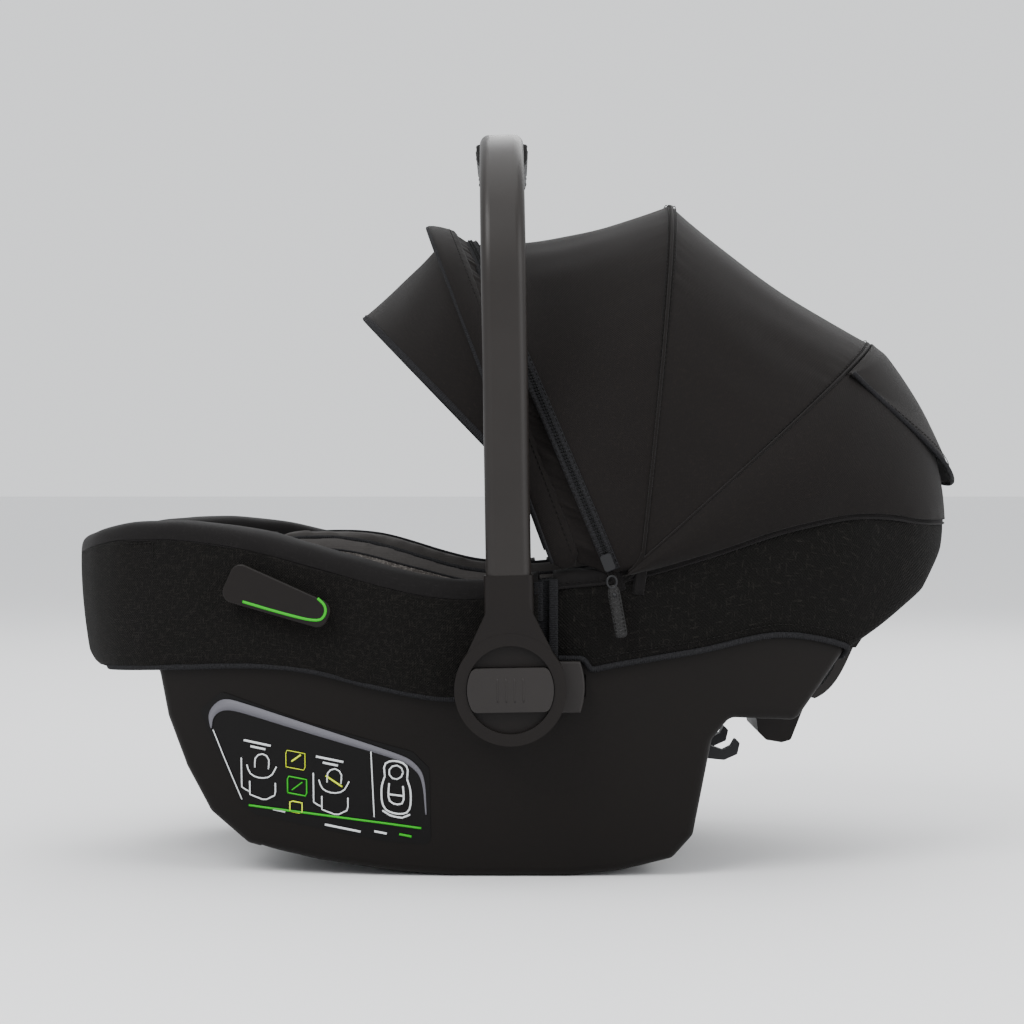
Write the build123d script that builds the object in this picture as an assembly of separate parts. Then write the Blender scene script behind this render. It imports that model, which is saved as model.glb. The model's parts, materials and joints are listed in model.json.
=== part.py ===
from build123d import *
import os
from math import cos, pi, radians, sin

# Infant car seat, in millimetres. +X points to the head end, +Y to the child's right, +Z up.
# The floor is Z = 0, and the origin is below the middle of the seat's length.
# Left-hand pieces are modelled at -Y, and their right-hand twins are mirrored.

# ---- Driving dimensions -------------------------------------------------------------------
HUB_X, HUB_Z = -5.5, 140.0         # axis of the carry handle
HANDLE_LEAN = 0.96                 # the upright handle leans this far to the foot end, degrees
HANDLE_TOP = 545.0                 # top of the handle above the floor
HANDLE_INSIDE = 202.5              # inner face of the handle's uprights, from the middle
TUBE_WIDE, TUBE_THICK = 32.0, 17.0
HANDLE_BEND = 110.0                # centre-line radius of the handle's two bends
HUB_RADIUS = 39.5
HUB_BACK, HUB_FACE = 194.5, 220.0  # how far the hub's back and face are from the middle
COLLAR_TOP = 220.5                 # the tube's lower end goes into a collar up to here
BUTTON_FACE = 221.5
BUTTON_TRAVEL = 4.0

SHELL_HALF = 186.0                 # half the width of the shell's rim
PLAN_MIDDLE = 30.0                 # X of the shell's widest place
FOOT_REACH, HEAD_REACH = 362.5, 297.0
FOOT_POWER, HEAD_POWER = 3.0, 2.6  # how square the rim is at each end, in plan
WALL = 3.5
EDGE_ROUND = 8.0
COVER = 4.0                        # thickness of the outer cover
GAP = 0.3                          # clear space between neighbours that don't touch
RUNNER = 14.0                      # width of the flange along the rockers' lower edge

PIVOT_X, PIVOT_Z = 65.0, 209.5     # axis of the canopy's bows
PIVOT_PIN = 3.0
BOW_THICK, BOW_WIDE = 2.0, 5.0
BOW_POWER = 2.4                    # how square a bow's arch is
CLOTH = 2.0                        # thickness of the canopy's cloth with its backing
CLOTH_HALF = 196.5                 # half the width of the canopy at its foot
FRONT_BOW, MID_BOW, REAR_BOW, HEM = 111.3, 79.8, 41.6, 9.2  # angles above +X, degrees
FRONT_HIGH, MID_HIGH, REAR_HIGH, HEM_HIGH = 282.8, 297.3, 278.5, 268.9
BULGE_ANGLE, BULGE_HIGH = 25.0, 274.0                       # the hem panel's middle
VISOR_X, VISOR_Z = 10.0, 281.0     # axis of the visor's wire
VISOR_ANGLE, VISOR_LONG, VISOR_HALF = 133.5, 185.0, 181.0
BRIM_X, BRIM_Z = 34.0, 247.0       # the middle of the brim's foot
BRIM_ANGLE, BRIM_HIGH, BRIM_HALF = 110.3, 264.0, 194.0
BRIM_WIDE, BRIM_THICK, BRIM_PAD = 19.5, 9.0, 25.0
FLAP_X, FLAP_Z, FLAP_ROUND = 274.0, 391.5, 283.0            # the vent flap's hinge line and curve
LATCH_X, LATCH_Z = 116.0, 66.0     # axis of the latch hooks
LEVER_X, LEVER_Z = 257.0, 165.0    # axis of the release lever

WEB_WIDE, WEB_THICK = 38.0, 1.8    # harness webbing

# Height curves along the seat, foot end first.
RIM = [(-352, 228), (-338, 236), (-310, 247), (-260, 252), (-200, 246), (-133, 229), (-75, 214),
       (-42, 210), (-10, 212), (26, 218), (72, 223), (129, 238), (200, 260), (250, 268),
       (290, 264), (327, 252), (345, 243)]
INSERT_RIM = [(-240, 236), (-228, 239), (-193, 247), (-156, 251), (-123, 250), (-79, 239), (-25, 226),
              (26, 226), (90, 238), (148, 250), (170, 254)]
FLOOR = [(-352, 212), (-290, 196), (-220, 165), (-150, 122), (-80, 82), (-20, 62), (40, 66),
         (100, 98), (170, 146), (240, 196), (300, 236), (345, 264)]
PIPING = [(-352, 147), (-300, 149), (-262, 151), (-155, 151), (-98, 138), (-55, 131), (-5, 136),
          (50, 151), (130, 165), (195, 176), (235, 169), (262, 160), (345, 160)]
# Side outline of the shell: foot lip, rocker, the step that clears a base, back wall, head lip.
OUTLINE = [(-360, 300), (-322, 158), (-264, 152), (-257, 115), (-243, 78), (-225, 45), (-197, 22),
           (-145, 11), (-92, 3.5), (-45, 0), (35, 0), (72, 3.5), (112, 13), (127, 30), (140, 100),
           (153, 116), (202, 113), (240, 166), (262, 180), (300, 206), (322, 236), (350, 300)]


# ---- Helpers ------------------------------------------------------------------------------
def outline_face(points, round_by=0.0):
    face = make_face(Plane.XZ * Polyline(*points, close=True))
    return fillet(face.vertices(), round_by) if round_by else face


def side_prism(points, half_width, round_by=0.0):
    """The XZ outline, as a solid that reaches half_width to each side."""
    return extrude(outline_face(points, round_by), half_width, both=True)


def across(sketch, y_low, y_high):
    """Extrudes a sketch, drawn with X along the seat and Y up, from y_low to y_high."""
    return extrude(Plane((0, y_high, 0), x_dir=(1, 0, 0), z_dir=(0, -1, 0)) * sketch, y_high - y_low)


def disc(x, z, radius, y_low, y_high):
    return across(Pos(x, z) * Circle(radius), y_low, y_high)


def block(x_low, x_high, y_low, y_high, z_low, z_high):
    corner = Pos((x_low + x_high) / 2, (y_low + y_high) / 2, (z_low + z_high) / 2)
    return corner * Box(x_high - x_low, y_high - y_low, z_high - z_low)


def twin(left):
    return mirror(left, about=Plane.XZ)


def both(left):
    return Compound(children=[left, twin(left)])


def plan_wire(inset, z):
    """The rim's outline in plan at height z, taken in by inset."""
    count = 28
    points = []
    for i in range(count):
        along, aside = cos(2 * pi * i / count), sin(2 * pi * i / count)
        reach, power = (HEAD_REACH, HEAD_POWER) if along > 0 else (FOOT_REACH, FOOT_POWER)
        x = (reach - inset) * abs(along) ** (2 / power) * (1 if along > 0 else -1)
        y = (SHELL_HALF - inset) * abs(aside) ** (2 / power) * (1 if aside > 0 else -1)
        points.append((PLAN_MIDDLE + x, y, z))
    return Wire(Spline(*points, periodic=True))


def hull(inset):
    """The volume inside the shell's plan outline, taken in by inset. It narrows to the floor."""
    draft = ((-12, 28), (120, 8), (330, 0))
    return Solid.make_loft([plan_wire(inset + narrower, z) for z, narrower in draft])


def band(low, low_lift, high, high_lift):
    """The space between two height curves along the seat, each lifted."""
    bottom = Spline(*[(x, z + low_lift) for x, z in low])
    top = Spline(*[(x, z + high_lift) for x, z in high])
    sides = Line(bottom @ 0, top @ 0) + Line(bottom @ 1, top @ 1)
    return extrude(make_face(Plane.XZ * (bottom + top + sides)), 260, both=True)


def above(curve, lift):
    return band(curve, lift, [(x, 420) for x, _ in curve], 0)


def below(curve, lift):
    return band([(x, -60) for x, _ in curve], 0, curve, lift)


def between(x_low, x_high):
    return block(x_low, x_high, -260, 260, -80, 600)


def tub(outside, floor_out, inside, floor_in, top_lift):
    """An open tub between two insets of the rim. Its floor and its top follow the bucket's."""
    body = hull(outside) & above(FLOOR, floor_out) & below(RIM, top_lift)
    return body - (hull(inside) & above(FLOOR, floor_in))


def shell_volume(grow):
    """The shell's outside, grown by grow."""
    face = offset(outline_face(OUTLINE, 9), grow) if grow else outline_face(OUTLINE, 9)
    return hull(-grow) & extrude(face, 260, both=True)


def arch_plane(x, z, angle):
    """A plane across the seat that leans at angle above +X, with its origin at (x, 0, z)."""
    return Plane((x, 0, z), x_dir=(0, 1, 0), z_dir=(sin(radians(angle)), 0, -cos(radians(angle))))


def arch_points(half, high, start=0.0):
    """Points along a squarish arch, from one foot to the other. start lifts both feet."""
    count = 14
    points = []
    for i in range(count + 1):
        turn = pi * i / count
        aside = half * abs(cos(turn)) ** (2 / BOW_POWER) * (1 if cos(turn) > 0 else -1)
        points.append((aside, start + (high - start) * abs(sin(turn)) ** (2 / BOW_POWER)))
    return points


def arch_edges(half, high, thick, start=0.0, pad=None):
    """The closed outline of an arch, thick in its own plane. pad is its thickness at the top."""
    outer = Spline(*arch_points(half, high, start))
    inner = Spline(*arch_points(half - thick, high - (pad or thick), start))
    return outer + inner + Line(outer @ 0, inner @ 0) + Line(outer @ 1, inner @ 1)


def arch_bow(plane, half, high, thick, wide, start=0.0, pad=None):
    return extrude(plane * make_face(arch_edges(half, high, thick, start, pad)), wide / 2, both=True)


def cloth_panel(*arches, thick=CLOTH):
    """Cloth stretched over a row of arches. Each arch is (plane, half, high, start)."""
    wires = [Wire((plane * arch_edges(half, high, thick, start)).edges())
             for plane, half, high, start in arches]
    return Solid.make_loft(wires, ruled=True)


def canopy_arch(angle, high, half=CLOTH_HALF, start=22.0):
    """An arch of the canopy's cloth, which leaves the pivots bare."""
    return arch_plane(PIVOT_X, PIVOT_Z, angle), half, high, start


def canopy_bow(angle, high, half, wide=BOW_WIDE):
    """A flat spring bow with an eyelet round the pivot at each foot."""
    bow = arch_bow(arch_plane(PIVOT_X, PIVOT_Z, angle), half, high - CLOTH - GAP - 1.3, BOW_THICK, wide)
    eyelets = both(disc(PIVOT_X, PIVOT_Z, 8, -half, BOW_THICK - half))
    return bow + eyelets - disc(PIVOT_X, PIVOT_Z, PIVOT_PIN + 0.05, -260, 260)


# ---- Shell and bucket ---------------------------------------------------------------------
def outer_shell():
    body = shell_volume(0)
    rounded = [edge for edge in body.edges() if edge.center().Z < 290]
    body = fillet(rounded, EDGE_ROUND) & below(RIM, -WALL)
    hollow = shell_volume(-WALL) - block(-260, 160, -260, 260, -5, 0)
    hollow += block(-188, 116, RUNNER - 160, 160 - RUNNER, -20, 40)
    body -= hollow
    body -= both(disc(HUB_X, HUB_Z, 30, -200, -150))
    body -= both(disc(PIVOT_X, PIVOT_Z, PIVOT_PIN, -200, -150))
    body -= both(block(31, 48.4, -200, -150, HUB_Z - 8.4, HUB_Z + 8.4))
    body -= both(block(118, 160, -61, -43, 36, 94))
    return body


def seat_bucket():
    body = tub(12, 0, 12 + WALL, WALL, -WALL)
    flange = (hull(0) - hull(12 + WALL)) & band(RIM, -WALL, RIM, 0)
    body = body + flange
    return body - strap_slots()


def strap_slots():
    """The slots that the shoulder straps go through to the back of the seat."""
    return both(block(149, 157, -59, -15, 90, 182))


def pivot_housing_left():
    plug = disc(HUB_X, HUB_Z, 29.9, -186, -173)
    flange = disc(HUB_X, HUB_Z, 36, -186, -184) + disc(HUB_X, HUB_Z, 30.5, -193.5, -186)
    bore = disc(HUB_X, HUB_Z, 6, -200, -160)
    return plug + flange - bore


def pivot_bolt_left():
    return disc(HUB_X, HUB_Z, 6, -207, -171.5) + disc(HUB_X, HUB_Z, 9, -209, -207)


# ---- Carry handle -------------------------------------------------------------------------
def lean(shape):
    """Turns an upright handle piece about the hub axis to its rest angle."""
    return Pos(HUB_X, 0, HUB_Z) * Rot(0, -HANDLE_LEAN, 0) * Pos(-HUB_X, 0, -HUB_Z) * shape


def handle_tube():
    aside = HANDLE_INSIDE + TUBE_THICK / 2
    high = HANDLE_TOP - TUBE_THICK / 2
    foot = HUB_Z + HUB_RADIUS + 8
    corners = [(HUB_X, -aside, foot), (HUB_X, -aside, high), (HUB_X, aside, high), (HUB_X, aside, foot)]
    path = FilletPolyline(*corners, radius=HANDLE_BEND)
    section = Plane(corners[0], x_dir=(1, 0, 0), z_dir=(0, 0, 1)) * RectangleRounded(TUBE_WIDE, TUBE_THICK, 7)
    return lean(sweep(section, path))


def handle_grip():
    low, high = HANDLE_TOP - 19.5, HANDLE_TOP - 4
    sleeve = extrude(Plane.XZ * Pos(HUB_X, (low + high) / 2) * RectangleRounded(38, high - low, 6), 88, both=True)
    tube_space = block(HUB_X - TUBE_WIDE / 2, HUB_X + TUBE_WIDE / 2, -90, 90, HANDLE_TOP - TUBE_THICK, HANDLE_TOP + 5)
    return lean(sleeve - tube_space)


def handle_hub_left():
    cup = disc(HUB_X, HUB_Z, HUB_RADIUS, -HUB_FACE, -HUB_BACK)
    collar = block(HUB_X - 17.5, HUB_X + 17.5, -219.7, -201.8, HUB_Z + 20, COLLAR_TOP)
    shoulders = across(make_face(Polyline((HUB_X - 34, HUB_Z + 18), (HUB_X - 17.5, HUB_Z + 52),
                                          (HUB_X + 17.5, HUB_Z + 52), (HUB_X + 34, HUB_Z + 18), close=True)),
                       -219.7, -198)
    body = fillet((collar + shoulders).edges().filter_by(Axis.Z), 4) + cup
    body -= disc(HUB_X, HUB_Z, 31, -230, -214.5)
    body -= button_blank(0.4, -230, -209.5)
    body -= disc(HUB_X, HUB_Z, 32, -203.5, -190)
    body -= disc(HUB_X, HUB_Z, 9.5, -212, -206.7) + disc(HUB_X, HUB_Z, 6.05, -212, -190)
    tube_space = block(HUB_X - TUBE_WIDE / 2, HUB_X + TUBE_WIDE / 2, -HANDLE_INSIDE - TUBE_THICK,
                       -HANDLE_INSIDE, HUB_Z + HUB_RADIUS + 8, COLLAR_TOP + 5)
    return lean(body - fillet(tube_space.edges().filter_by(Axis.Z), 7))


def button_blank(grow, y_low, y_high):
    """The handle button's outline, which the hub's ring trims round at its two ends."""
    slab = Pos(HUB_X, HUB_Z) * Circle(30.5 + grow) & Pos(HUB_X, HUB_Z) * Rectangle(70, 31 + 2 * grow)
    return across(fillet(slab.vertices(), 5), y_low, y_high)


def handle_button_left():
    return lean(button_blank(0, -BUTTON_FACE, -214))


def lock_gear_left():
    teeth = [Pos(HUB_X, HUB_Z) * Rot(0, 0, 30 * i) * Pos(28, 0) * Rectangle(5, 6) for i in range(12)]
    gear = Pos(HUB_X, HUB_Z) * Circle(27) - Pos(HUB_X, HUB_Z) * Circle(7)
    return lean(across(gear + teeth, -199.2, -195.2))


def lock_spring_left():
    coil = Helix(pitch=1.5, height=2.7, radius=18)
    wire = sweep(Plane(coil @ 0, z_dir=coil % 0) * Circle(0.6), coil, is_frenet=True)
    return Pos(HUB_X, -200.0, HUB_Z) * Rot(90, 0, 0) * wire


# ---- Outer pieces on the shell ------------------------------------------------------------
def memory_button_left():
    ring = Pos(HUB_X, HUB_Z) * Circle(53) - Pos(HUB_X, HUB_Z) * Circle(38)
    tab = ring & Pos(HUB_X + 50, HUB_Z) * Rectangle(60, 36.7)
    solid = across(tab, -194.0, -186.7)
    face = solid.faces().sort_by(Axis.Y)[0]
    stem = block(HUB_X + 43.9, HUB_X + 53.5, -188, -172.5, HUB_Z - 8, HUB_Z + 8)
    return fillet(face.edges(), 1.5) + (stem & disc(HUB_X, HUB_Z, 53, -188, -172.5))


def belt_guide_left():
    """The lap belt's guide: a plate on two feet, tilted along the seat's side."""
    face = make_face(Polyline((-38, -14.5), (42, -12), (45, 7), (-34, 15.5), close=True))
    face = fillet(face.vertices(), 8)
    turn = radians(10.3)
    seat = Plane((-172, -176.6, 205), x_dir=(cos(turn), -sin(turn), 0), z_dir=(-sin(turn), -cos(turn), 0))
    plate = fillet(extrude(face, 3).edges().group_by(Axis.Z)[-1], 1.2)
    feet = Pos(-30, 0, -7) * Box(5, 20, 14) + Pos(34, 0, -7) * Box(5, 11, 14)
    guide = seat * Rot(0, 0, -17) * (Pos(0, 0, 13) * (plate + feet))
    return guide - shell_volume(COVER)


def belt_line_left():
    """The coloured line along the guide's lower edge, which shows where the belt goes."""
    turn = radians(10.3)
    seat = Plane((-172, -176.6, 205), x_dir=(cos(turn), -sin(turn), 0), z_dir=(-sin(turn), -cos(turn), 0))
    line = Pos(4, -10) * Rot(0, 0, 1.8) * RectangleRounded(60, 2.4, 1.1) + Pos(39.5, -1) * Rot(0, 0, -9) * RectangleRounded(2.4, 13, 1.1)
    return seat * Rot(0, 0, -17) * Pos(0, 0, 16) * extrude(line, 0.5)


def info_label_left():
    shape = [(-232, 120), (-215, 134), (-150, 112), (-76, 92), (-64, 80), (-63, 24), (-95, 26),
             (-190, 44), (-200, 50)]
    skin = (hull(0.5 - 1) - hull(0)) & side_prism(shape, 260, 5)
    return skin & block(-400, 400, -300, 0, -10, 300)


def rear_latch_block():
    shape = [(181, 122), (185, 94), (191, 88), (203, 86), (210, 88), (219.5, 112), (214, 128)]
    return side_prism(shape, 48, 3) - shell_volume(0)


def latch_hooks():
    hook = Polyline((106, 58), (106, 74), (124, 83), (146, 85), (157, 81), (163, 84), (166.5, 90),
                    (170, 86.5), (168, 78), (158, 73.5), (143, 75), (133, 70), (124, 52), close=True)
    blade = across(fillet(make_face(hook).vertices(), 1.2), -58, -46)
    shaft = disc(LATCH_X, LATCH_Z, 4, -72, 72)
    return both(blade) + shaft


def latch_bracket_left():
    ear = Polyline((104, 40), (124.5, 40), (134, 90), (120, 96), (104, 80), close=True)
    plate = across(make_face(ear), -70, -66) & shell_volume(-WALL - GAP)
    return plate - disc(LATCH_X, LATCH_Z, 4.05, -75, -60)


def release_lever():
    blade = Spline((259, 160), (250, 141), (240, 127), (229, 119.5))
    inner = Spline((252, 163), (245, 147), (237, 133), (229.5, 126))
    lip = Polyline(blade @ 1, (223, 121), (223.5, 124), inner @ 1)
    face = make_face(blade + lip + inner + Line(blade @ 0, inner @ 0))
    body = across(face, -44, 44) + disc(LEVER_X, LEVER_Z, 5.5, -44, 44)
    return body - disc(LEVER_X, LEVER_Z, 2.05, -50, 50)


def lever_bracket():
    ear = Polyline((246, 176), (262, 187), (266, 168), (260, 159), (253, 159), close=True)
    ears = both(across(make_face(ear), -49, -44.5))
    return ears - disc(LEVER_X, LEVER_Z, 2, -60, 60) - shell_volume(0)


def lever_pin():
    return disc(LEVER_X, LEVER_Z, 2, -50, 50)


# ---- Soft pieces --------------------------------------------------------------------------
def outer_cover():
    """The fitted cover: a skin outside the shell that rolls over the rim."""
    face = outline_face(OUTLINE, 9)
    outer = hull(-COVER) & band(PIPING, 0, RIM, COVER) & extrude(offset(face, COVER), 260, both=True)
    inner = hull(-GAP) & below(RIM, GAP) & extrude(offset(face, GAP), 260, both=True)
    cover = outer - inner - hull(27)
    cover -= both(disc(HUB_X, HUB_Z, 38, -200, -150) + block(24, 50, -200, -150, 120, 160))
    return cover - both(disc(PIVOT_X, PIVOT_Z, PIVOT_PIN, -200, -150))


def infant_insert():
    body = hull(42) & above(FLOOR, 30) & below(INSERT_RIM, 0)
    return body - (hull(64) & above(FLOOR, 46)) & between(-228, 148.5)


def seat_pad():
    return tub(29, 17, 40, 27, -1) - strap_slots()


def foam_liner():
    return tub(16, 4, 28, 16, -9) - strap_slots()


def head_pillow():
    return tub(43, 30, 70, 52, -14) & between(158, 290)


# ---- Harness ------------------------------------------------------------------------------
def web(x_low, x_high, y_low, y_high, lift, thick=WEB_THICK):
    """A flat strap that follows the bucket's floor, lift above it."""
    return band(FLOOR, lift, FLOOR, lift + thick) & block(x_low, x_high, y_low, y_high, 40, 400)


def shoulder_straps():
    """Each strap runs up over the back, drops through its slot and ends at the yoke plate."""
    drop = block(152, 152 + WEB_THICK, -56, -56 + WEB_WIDE, 60, 300)
    drop &= band(FLOOR, -9, FLOOR, 54 + WEB_THICK)
    tail = web(130, 152 + WEB_THICK, -56, -56 + WEB_WIDE, -9)
    return both(web(24, 152 + WEB_THICK, -56, -56 + WEB_WIDE, 54) + drop + tail)


def shoulder_pads():
    sleeve = web(52, 142, -62, -12, 50, 10)
    return both(sleeve - web(40, 152, -57, -17, 53.5, WEB_THICK + 1))


def lap_straps():
    return both(web(10, 36, -112, -57, 48))


def crotch_strap():
    return web(-84, -40.5, -WEB_WIDE / 2, WEB_WIDE / 2, 46.3)


def yoke_plate():
    return web(104, 142, -58, 58, -7, 2)


def adjuster_housing():
    case = web(-178, -132, -19, 19, 46.3, 11)
    return case - web(-165.3, -144.7, -11.3, 11.3, 50.5, 60)


def adjuster_button():
    return web(-165, -145, -11, 11, 53, 6)


def adjuster_strap():
    return web(-224, -178.3, -12.5, 12.5, 46.5)


def buckle_plane():
    return Plane((-14, 0, 122), x_dir=(1, 0, 0), z_dir=(0, 0, 1))


def buckle_body():
    case = fillet((buckle_plane() * Box(52, 46, 20)).edges(), 5)
    button_well = buckle_plane() * Pos(-4, 0, 8) * Box(28.6, 26.6, 10)
    tongue_slots = buckle_plane() * Pos(24, 0, 2) * Box(24, 34, 3.4)
    return case - button_well - tongue_slots


def buckle_button():
    return buckle_plane() * Pos(-4, 0, 8.5) * fillet(Box(28, 26, 5).edges().filter_by(Axis.Z), 4)


def buckle_tongues():
    plate = buckle_plane() * Pos(22.5, -8.5, 2) * Box(19, 16, 3)
    wing = buckle_plane() * Pos(33, -20.5, 2) * Box(9, 40, 3)
    return both(plate + wing - buckle_plane() * Pos(33, -24, 2) * Box(3.5, 26, 6))


# ---- Canopy -------------------------------------------------------------------------------
def canopy_pins():
    pin = disc(PIVOT_X, PIVOT_Z, PIVOT_PIN, -194.5, -176) + disc(PIVOT_X, PIVOT_Z, 8, -196.5, -194.5)
    return both(pin)


def hem_panel_whole():
    return cloth_panel(canopy_arch(HEM, HEM_HIGH), canopy_arch(BULGE_ANGLE, BULGE_HIGH),
                       canopy_arch(REAR_BOW - 0.06, REAR_HIGH))


def vent_window(grow):
    """A half-round prism that leaves the canopy's back below the rear bow."""
    angle = radians(28)
    plane = Plane((PIVOT_X, 0, PIVOT_Z), x_dir=(0, 1, 0), z_dir=(cos(angle), 0, sin(angle)))
    top = (FLAP_ROUND - 1) * sin(radians(REAR_BOW - 28)) - 2
    shape = Pos(0, top) * Circle(126 + grow) & Pos(0, top - 100) * Rectangle(400, 200)
    return plane * Pos(0, 0, 130) * extrude(shape, 200)


def vent_flap():
    sheet = cloth_panel(canopy_arch(8, FLAP_ROUND, 200), canopy_arch(20, FLAP_ROUND, 200),
                        canopy_arch(31, FLAP_ROUND, 200), canopy_arch(REAR_BOW - 0.3, FLAP_ROUND, 200))
    return sheet & vent_window(0)


def brim():
    plane = arch_plane(BRIM_X, BRIM_Z, BRIM_ANGLE)
    bow = arch_plane(PIVOT_X, PIVOT_Z, FRONT_BOW)
    return arch_bow(plane, BRIM_HALF, BRIM_HIGH, BRIM_THICK, BRIM_WIDE, 0, BRIM_PAD) & bow * Pos(0, 200, -203.4) * Box(600, 800, 400)


def canopy_zip():
    plane = arch_plane(PIVOT_X, PIVOT_Z, FRONT_BOW)
    return arch_bow(plane, CLOTH_HALF + 1.5, FRONT_HIGH + 1.5, 1.3, 6, 24)


def zip_slider():
    spot = Plane((63.5, -CLOTH_HALF - 3, 229), x_dir=(0, 1, 0), z_dir=(-sin(radians(21.3)), 0, cos(radians(21.3))))
    return spot * fillet(Box(2.6, 8, 12).edges().filter_by(Axis.X), 2)


def zip_puller():
    strap = across(Pos(70.3, 194) * Rot(0, 0, 10) * RectangleRounded(9, 37, 3), -201.4, -200.1)
    ring = across(Pos(66.5, 214.5) * (Circle(4) - Circle(2.6)), -201.2, -200.1)
    return strap + ring


def visor_wire():
    plane = arch_plane(VISOR_X, VISOR_Z, VISOR_ANGLE)
    foot = VISOR_HALF - CLOTH - GAP
    return arch_bow(plane, foot, VISOR_LONG - CLOTH - GAP, 2, 3) + both(disc(VISOR_X, VISOR_Z, 4, -foot, 2 - foot))


def visor_sheet():
    front = (arch_plane(VISOR_X, VISOR_Z, VISOR_ANGLE + 0.8), VISOR_HALF, VISOR_LONG, 12)
    back = (arch_plane(VISOR_X, VISOR_Z, BRIM_ANGLE), VISOR_HALF, 197.5, 12)
    return cloth_panel(front, back)


def parts_list():
    hem_window = vent_window(-22) & block(0, 400, -200, 200, 0, FLAP_Z - 14)
    hem_panel = hem_panel_whole() - (hull(-COVER - GAP) & below(RIM, COVER + GAP))
    cover = outer_cover()
    lever_gap = block(238, 280, -49.5, 49.5, 150, 189) + both(block(56, 130, -200, -186.9, 200.5, 255))
    left = {
        "belt_guide": belt_guide_left(),
        "belt_line": belt_line_left(),
        "handle_button": handle_button_left(),
        "handle_hub": handle_hub_left(),
        "info_label": info_label_left(),
        "lock_gear": lock_gear_left(),
        "lock_spring": lock_spring_left(),
        "memory_button": memory_button_left(),
    }
    parts = {
        "outer_shell": outer_shell(),
        "seat_bucket": seat_bucket(),
        "foam_liner": foam_liner(),
        "seat_pad": seat_pad(),
        "infant_insert": infant_insert(),
        "head_pillow": head_pillow(),
        "foot_cover": cover & between(-400, 16),
        "head_skirt": (cover & between(24, 400)) - lever_gap,
        "pivot_housings": both(pivot_housing_left()),
        "pivot_bolts": both(pivot_bolt_left()),
        "handle_tube": handle_tube(),
        "handle_grip": handle_grip(),
        "rear_latch_block": rear_latch_block(),
        "latch_brackets": both(latch_bracket_left()),
        "latch_hooks": latch_hooks(),
        "release_lever": release_lever(),
        "lever_bracket": lever_bracket(),
        "lever_pin": lever_pin(),
        "shoulder_straps": shoulder_straps(),
        "shoulder_pads": shoulder_pads(),
        "lap_straps": lap_straps(),
        "crotch_strap": crotch_strap(),
        "yoke_plate": yoke_plate(),
        "buckle_body": buckle_body(),
        "buckle_button": buckle_button(),
        "buckle_tongues": buckle_tongues(),
        "adjuster_housing": adjuster_housing(),
        "adjuster_button": adjuster_button(),
        "adjuster_strap": adjuster_strap(),
        "canopy_pins": canopy_pins(),
        "canopy_rear_bow": canopy_bow(REAR_BOW, REAR_HIGH, 189.2),
        "canopy_mid_bow": canopy_bow(MID_BOW, MID_HIGH, 191.7),
        "canopy_front_bow": canopy_bow(FRONT_BOW, FRONT_HIGH, 194.2),
        "canopy_hem_panel": hem_panel - hem_window,
        "vent_mesh": hem_panel & hem_window,
        "canopy_rear_panel": cloth_panel(canopy_arch(REAR_BOW + 0.06, REAR_HIGH), canopy_arch(MID_BOW - 0.06, MID_HIGH)),
        "canopy_front_panel": cloth_panel(canopy_arch(MID_BOW + 0.06, MID_HIGH), canopy_arch(FRONT_BOW + 0.75, FRONT_HIGH)),
        "canopy_brim": brim(),
        "canopy_zip": canopy_zip(),
        "zip_slider": zip_slider(),
        "zip_puller": zip_puller(),
        "visor_wire": visor_wire(),
        "visor_sheet": visor_sheet(),
        "vent_flap": vent_flap(),
    }
    for name, shape in left.items():
        parts[f"{name}_left"] = shape
        parts[f"{name}_right"] = twin(shape)
    return parts


def main():
    os.makedirs("parts", exist_ok=True)
    for name, shape in parts_list().items():
        export_step(shape, f"parts/{name}.step")


main()
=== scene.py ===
"""Looks of an infant car seat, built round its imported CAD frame.

Sizes in the classes are in millimetres, in the frame's own axes: +X to the head end, +Z up.
The left side is -Y. Meshes are made in millimetres and stored in metres.
"""

import json
import logging
import math
from dataclasses import dataclass, field
from enum import Enum

import bmesh
import bpy
import numpy as np
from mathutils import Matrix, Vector
from mathutils.bvhtree import BVHTree

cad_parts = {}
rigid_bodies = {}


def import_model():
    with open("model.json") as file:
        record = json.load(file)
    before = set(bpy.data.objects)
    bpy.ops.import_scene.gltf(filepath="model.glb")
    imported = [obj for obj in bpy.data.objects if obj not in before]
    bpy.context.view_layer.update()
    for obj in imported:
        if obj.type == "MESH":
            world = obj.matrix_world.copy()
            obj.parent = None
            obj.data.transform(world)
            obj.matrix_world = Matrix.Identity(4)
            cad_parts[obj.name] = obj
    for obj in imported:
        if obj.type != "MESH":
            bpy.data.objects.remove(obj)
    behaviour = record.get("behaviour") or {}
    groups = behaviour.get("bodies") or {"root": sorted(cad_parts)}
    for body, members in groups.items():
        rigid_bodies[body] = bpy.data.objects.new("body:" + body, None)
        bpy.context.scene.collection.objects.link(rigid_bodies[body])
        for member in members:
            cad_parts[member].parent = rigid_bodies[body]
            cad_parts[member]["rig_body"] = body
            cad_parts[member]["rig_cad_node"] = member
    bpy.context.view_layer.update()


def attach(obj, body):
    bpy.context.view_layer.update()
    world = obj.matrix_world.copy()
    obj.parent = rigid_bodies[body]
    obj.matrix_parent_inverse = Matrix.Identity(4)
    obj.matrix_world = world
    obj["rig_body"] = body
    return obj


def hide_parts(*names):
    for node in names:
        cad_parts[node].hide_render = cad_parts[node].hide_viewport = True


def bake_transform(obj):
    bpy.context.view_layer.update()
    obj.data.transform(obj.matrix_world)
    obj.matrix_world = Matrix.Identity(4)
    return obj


LOG = logging.getLogger("infant_seat")
MM = 0.001
Socket = bpy.types.NodeSocket
Tree = bpy.types.NodeTree
Node = bpy.types.Node
Piece = bpy.types.Object
Material = bpy.types.Material
Points = np.ndarray
Value = float | Socket   # what a maths step takes


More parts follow.
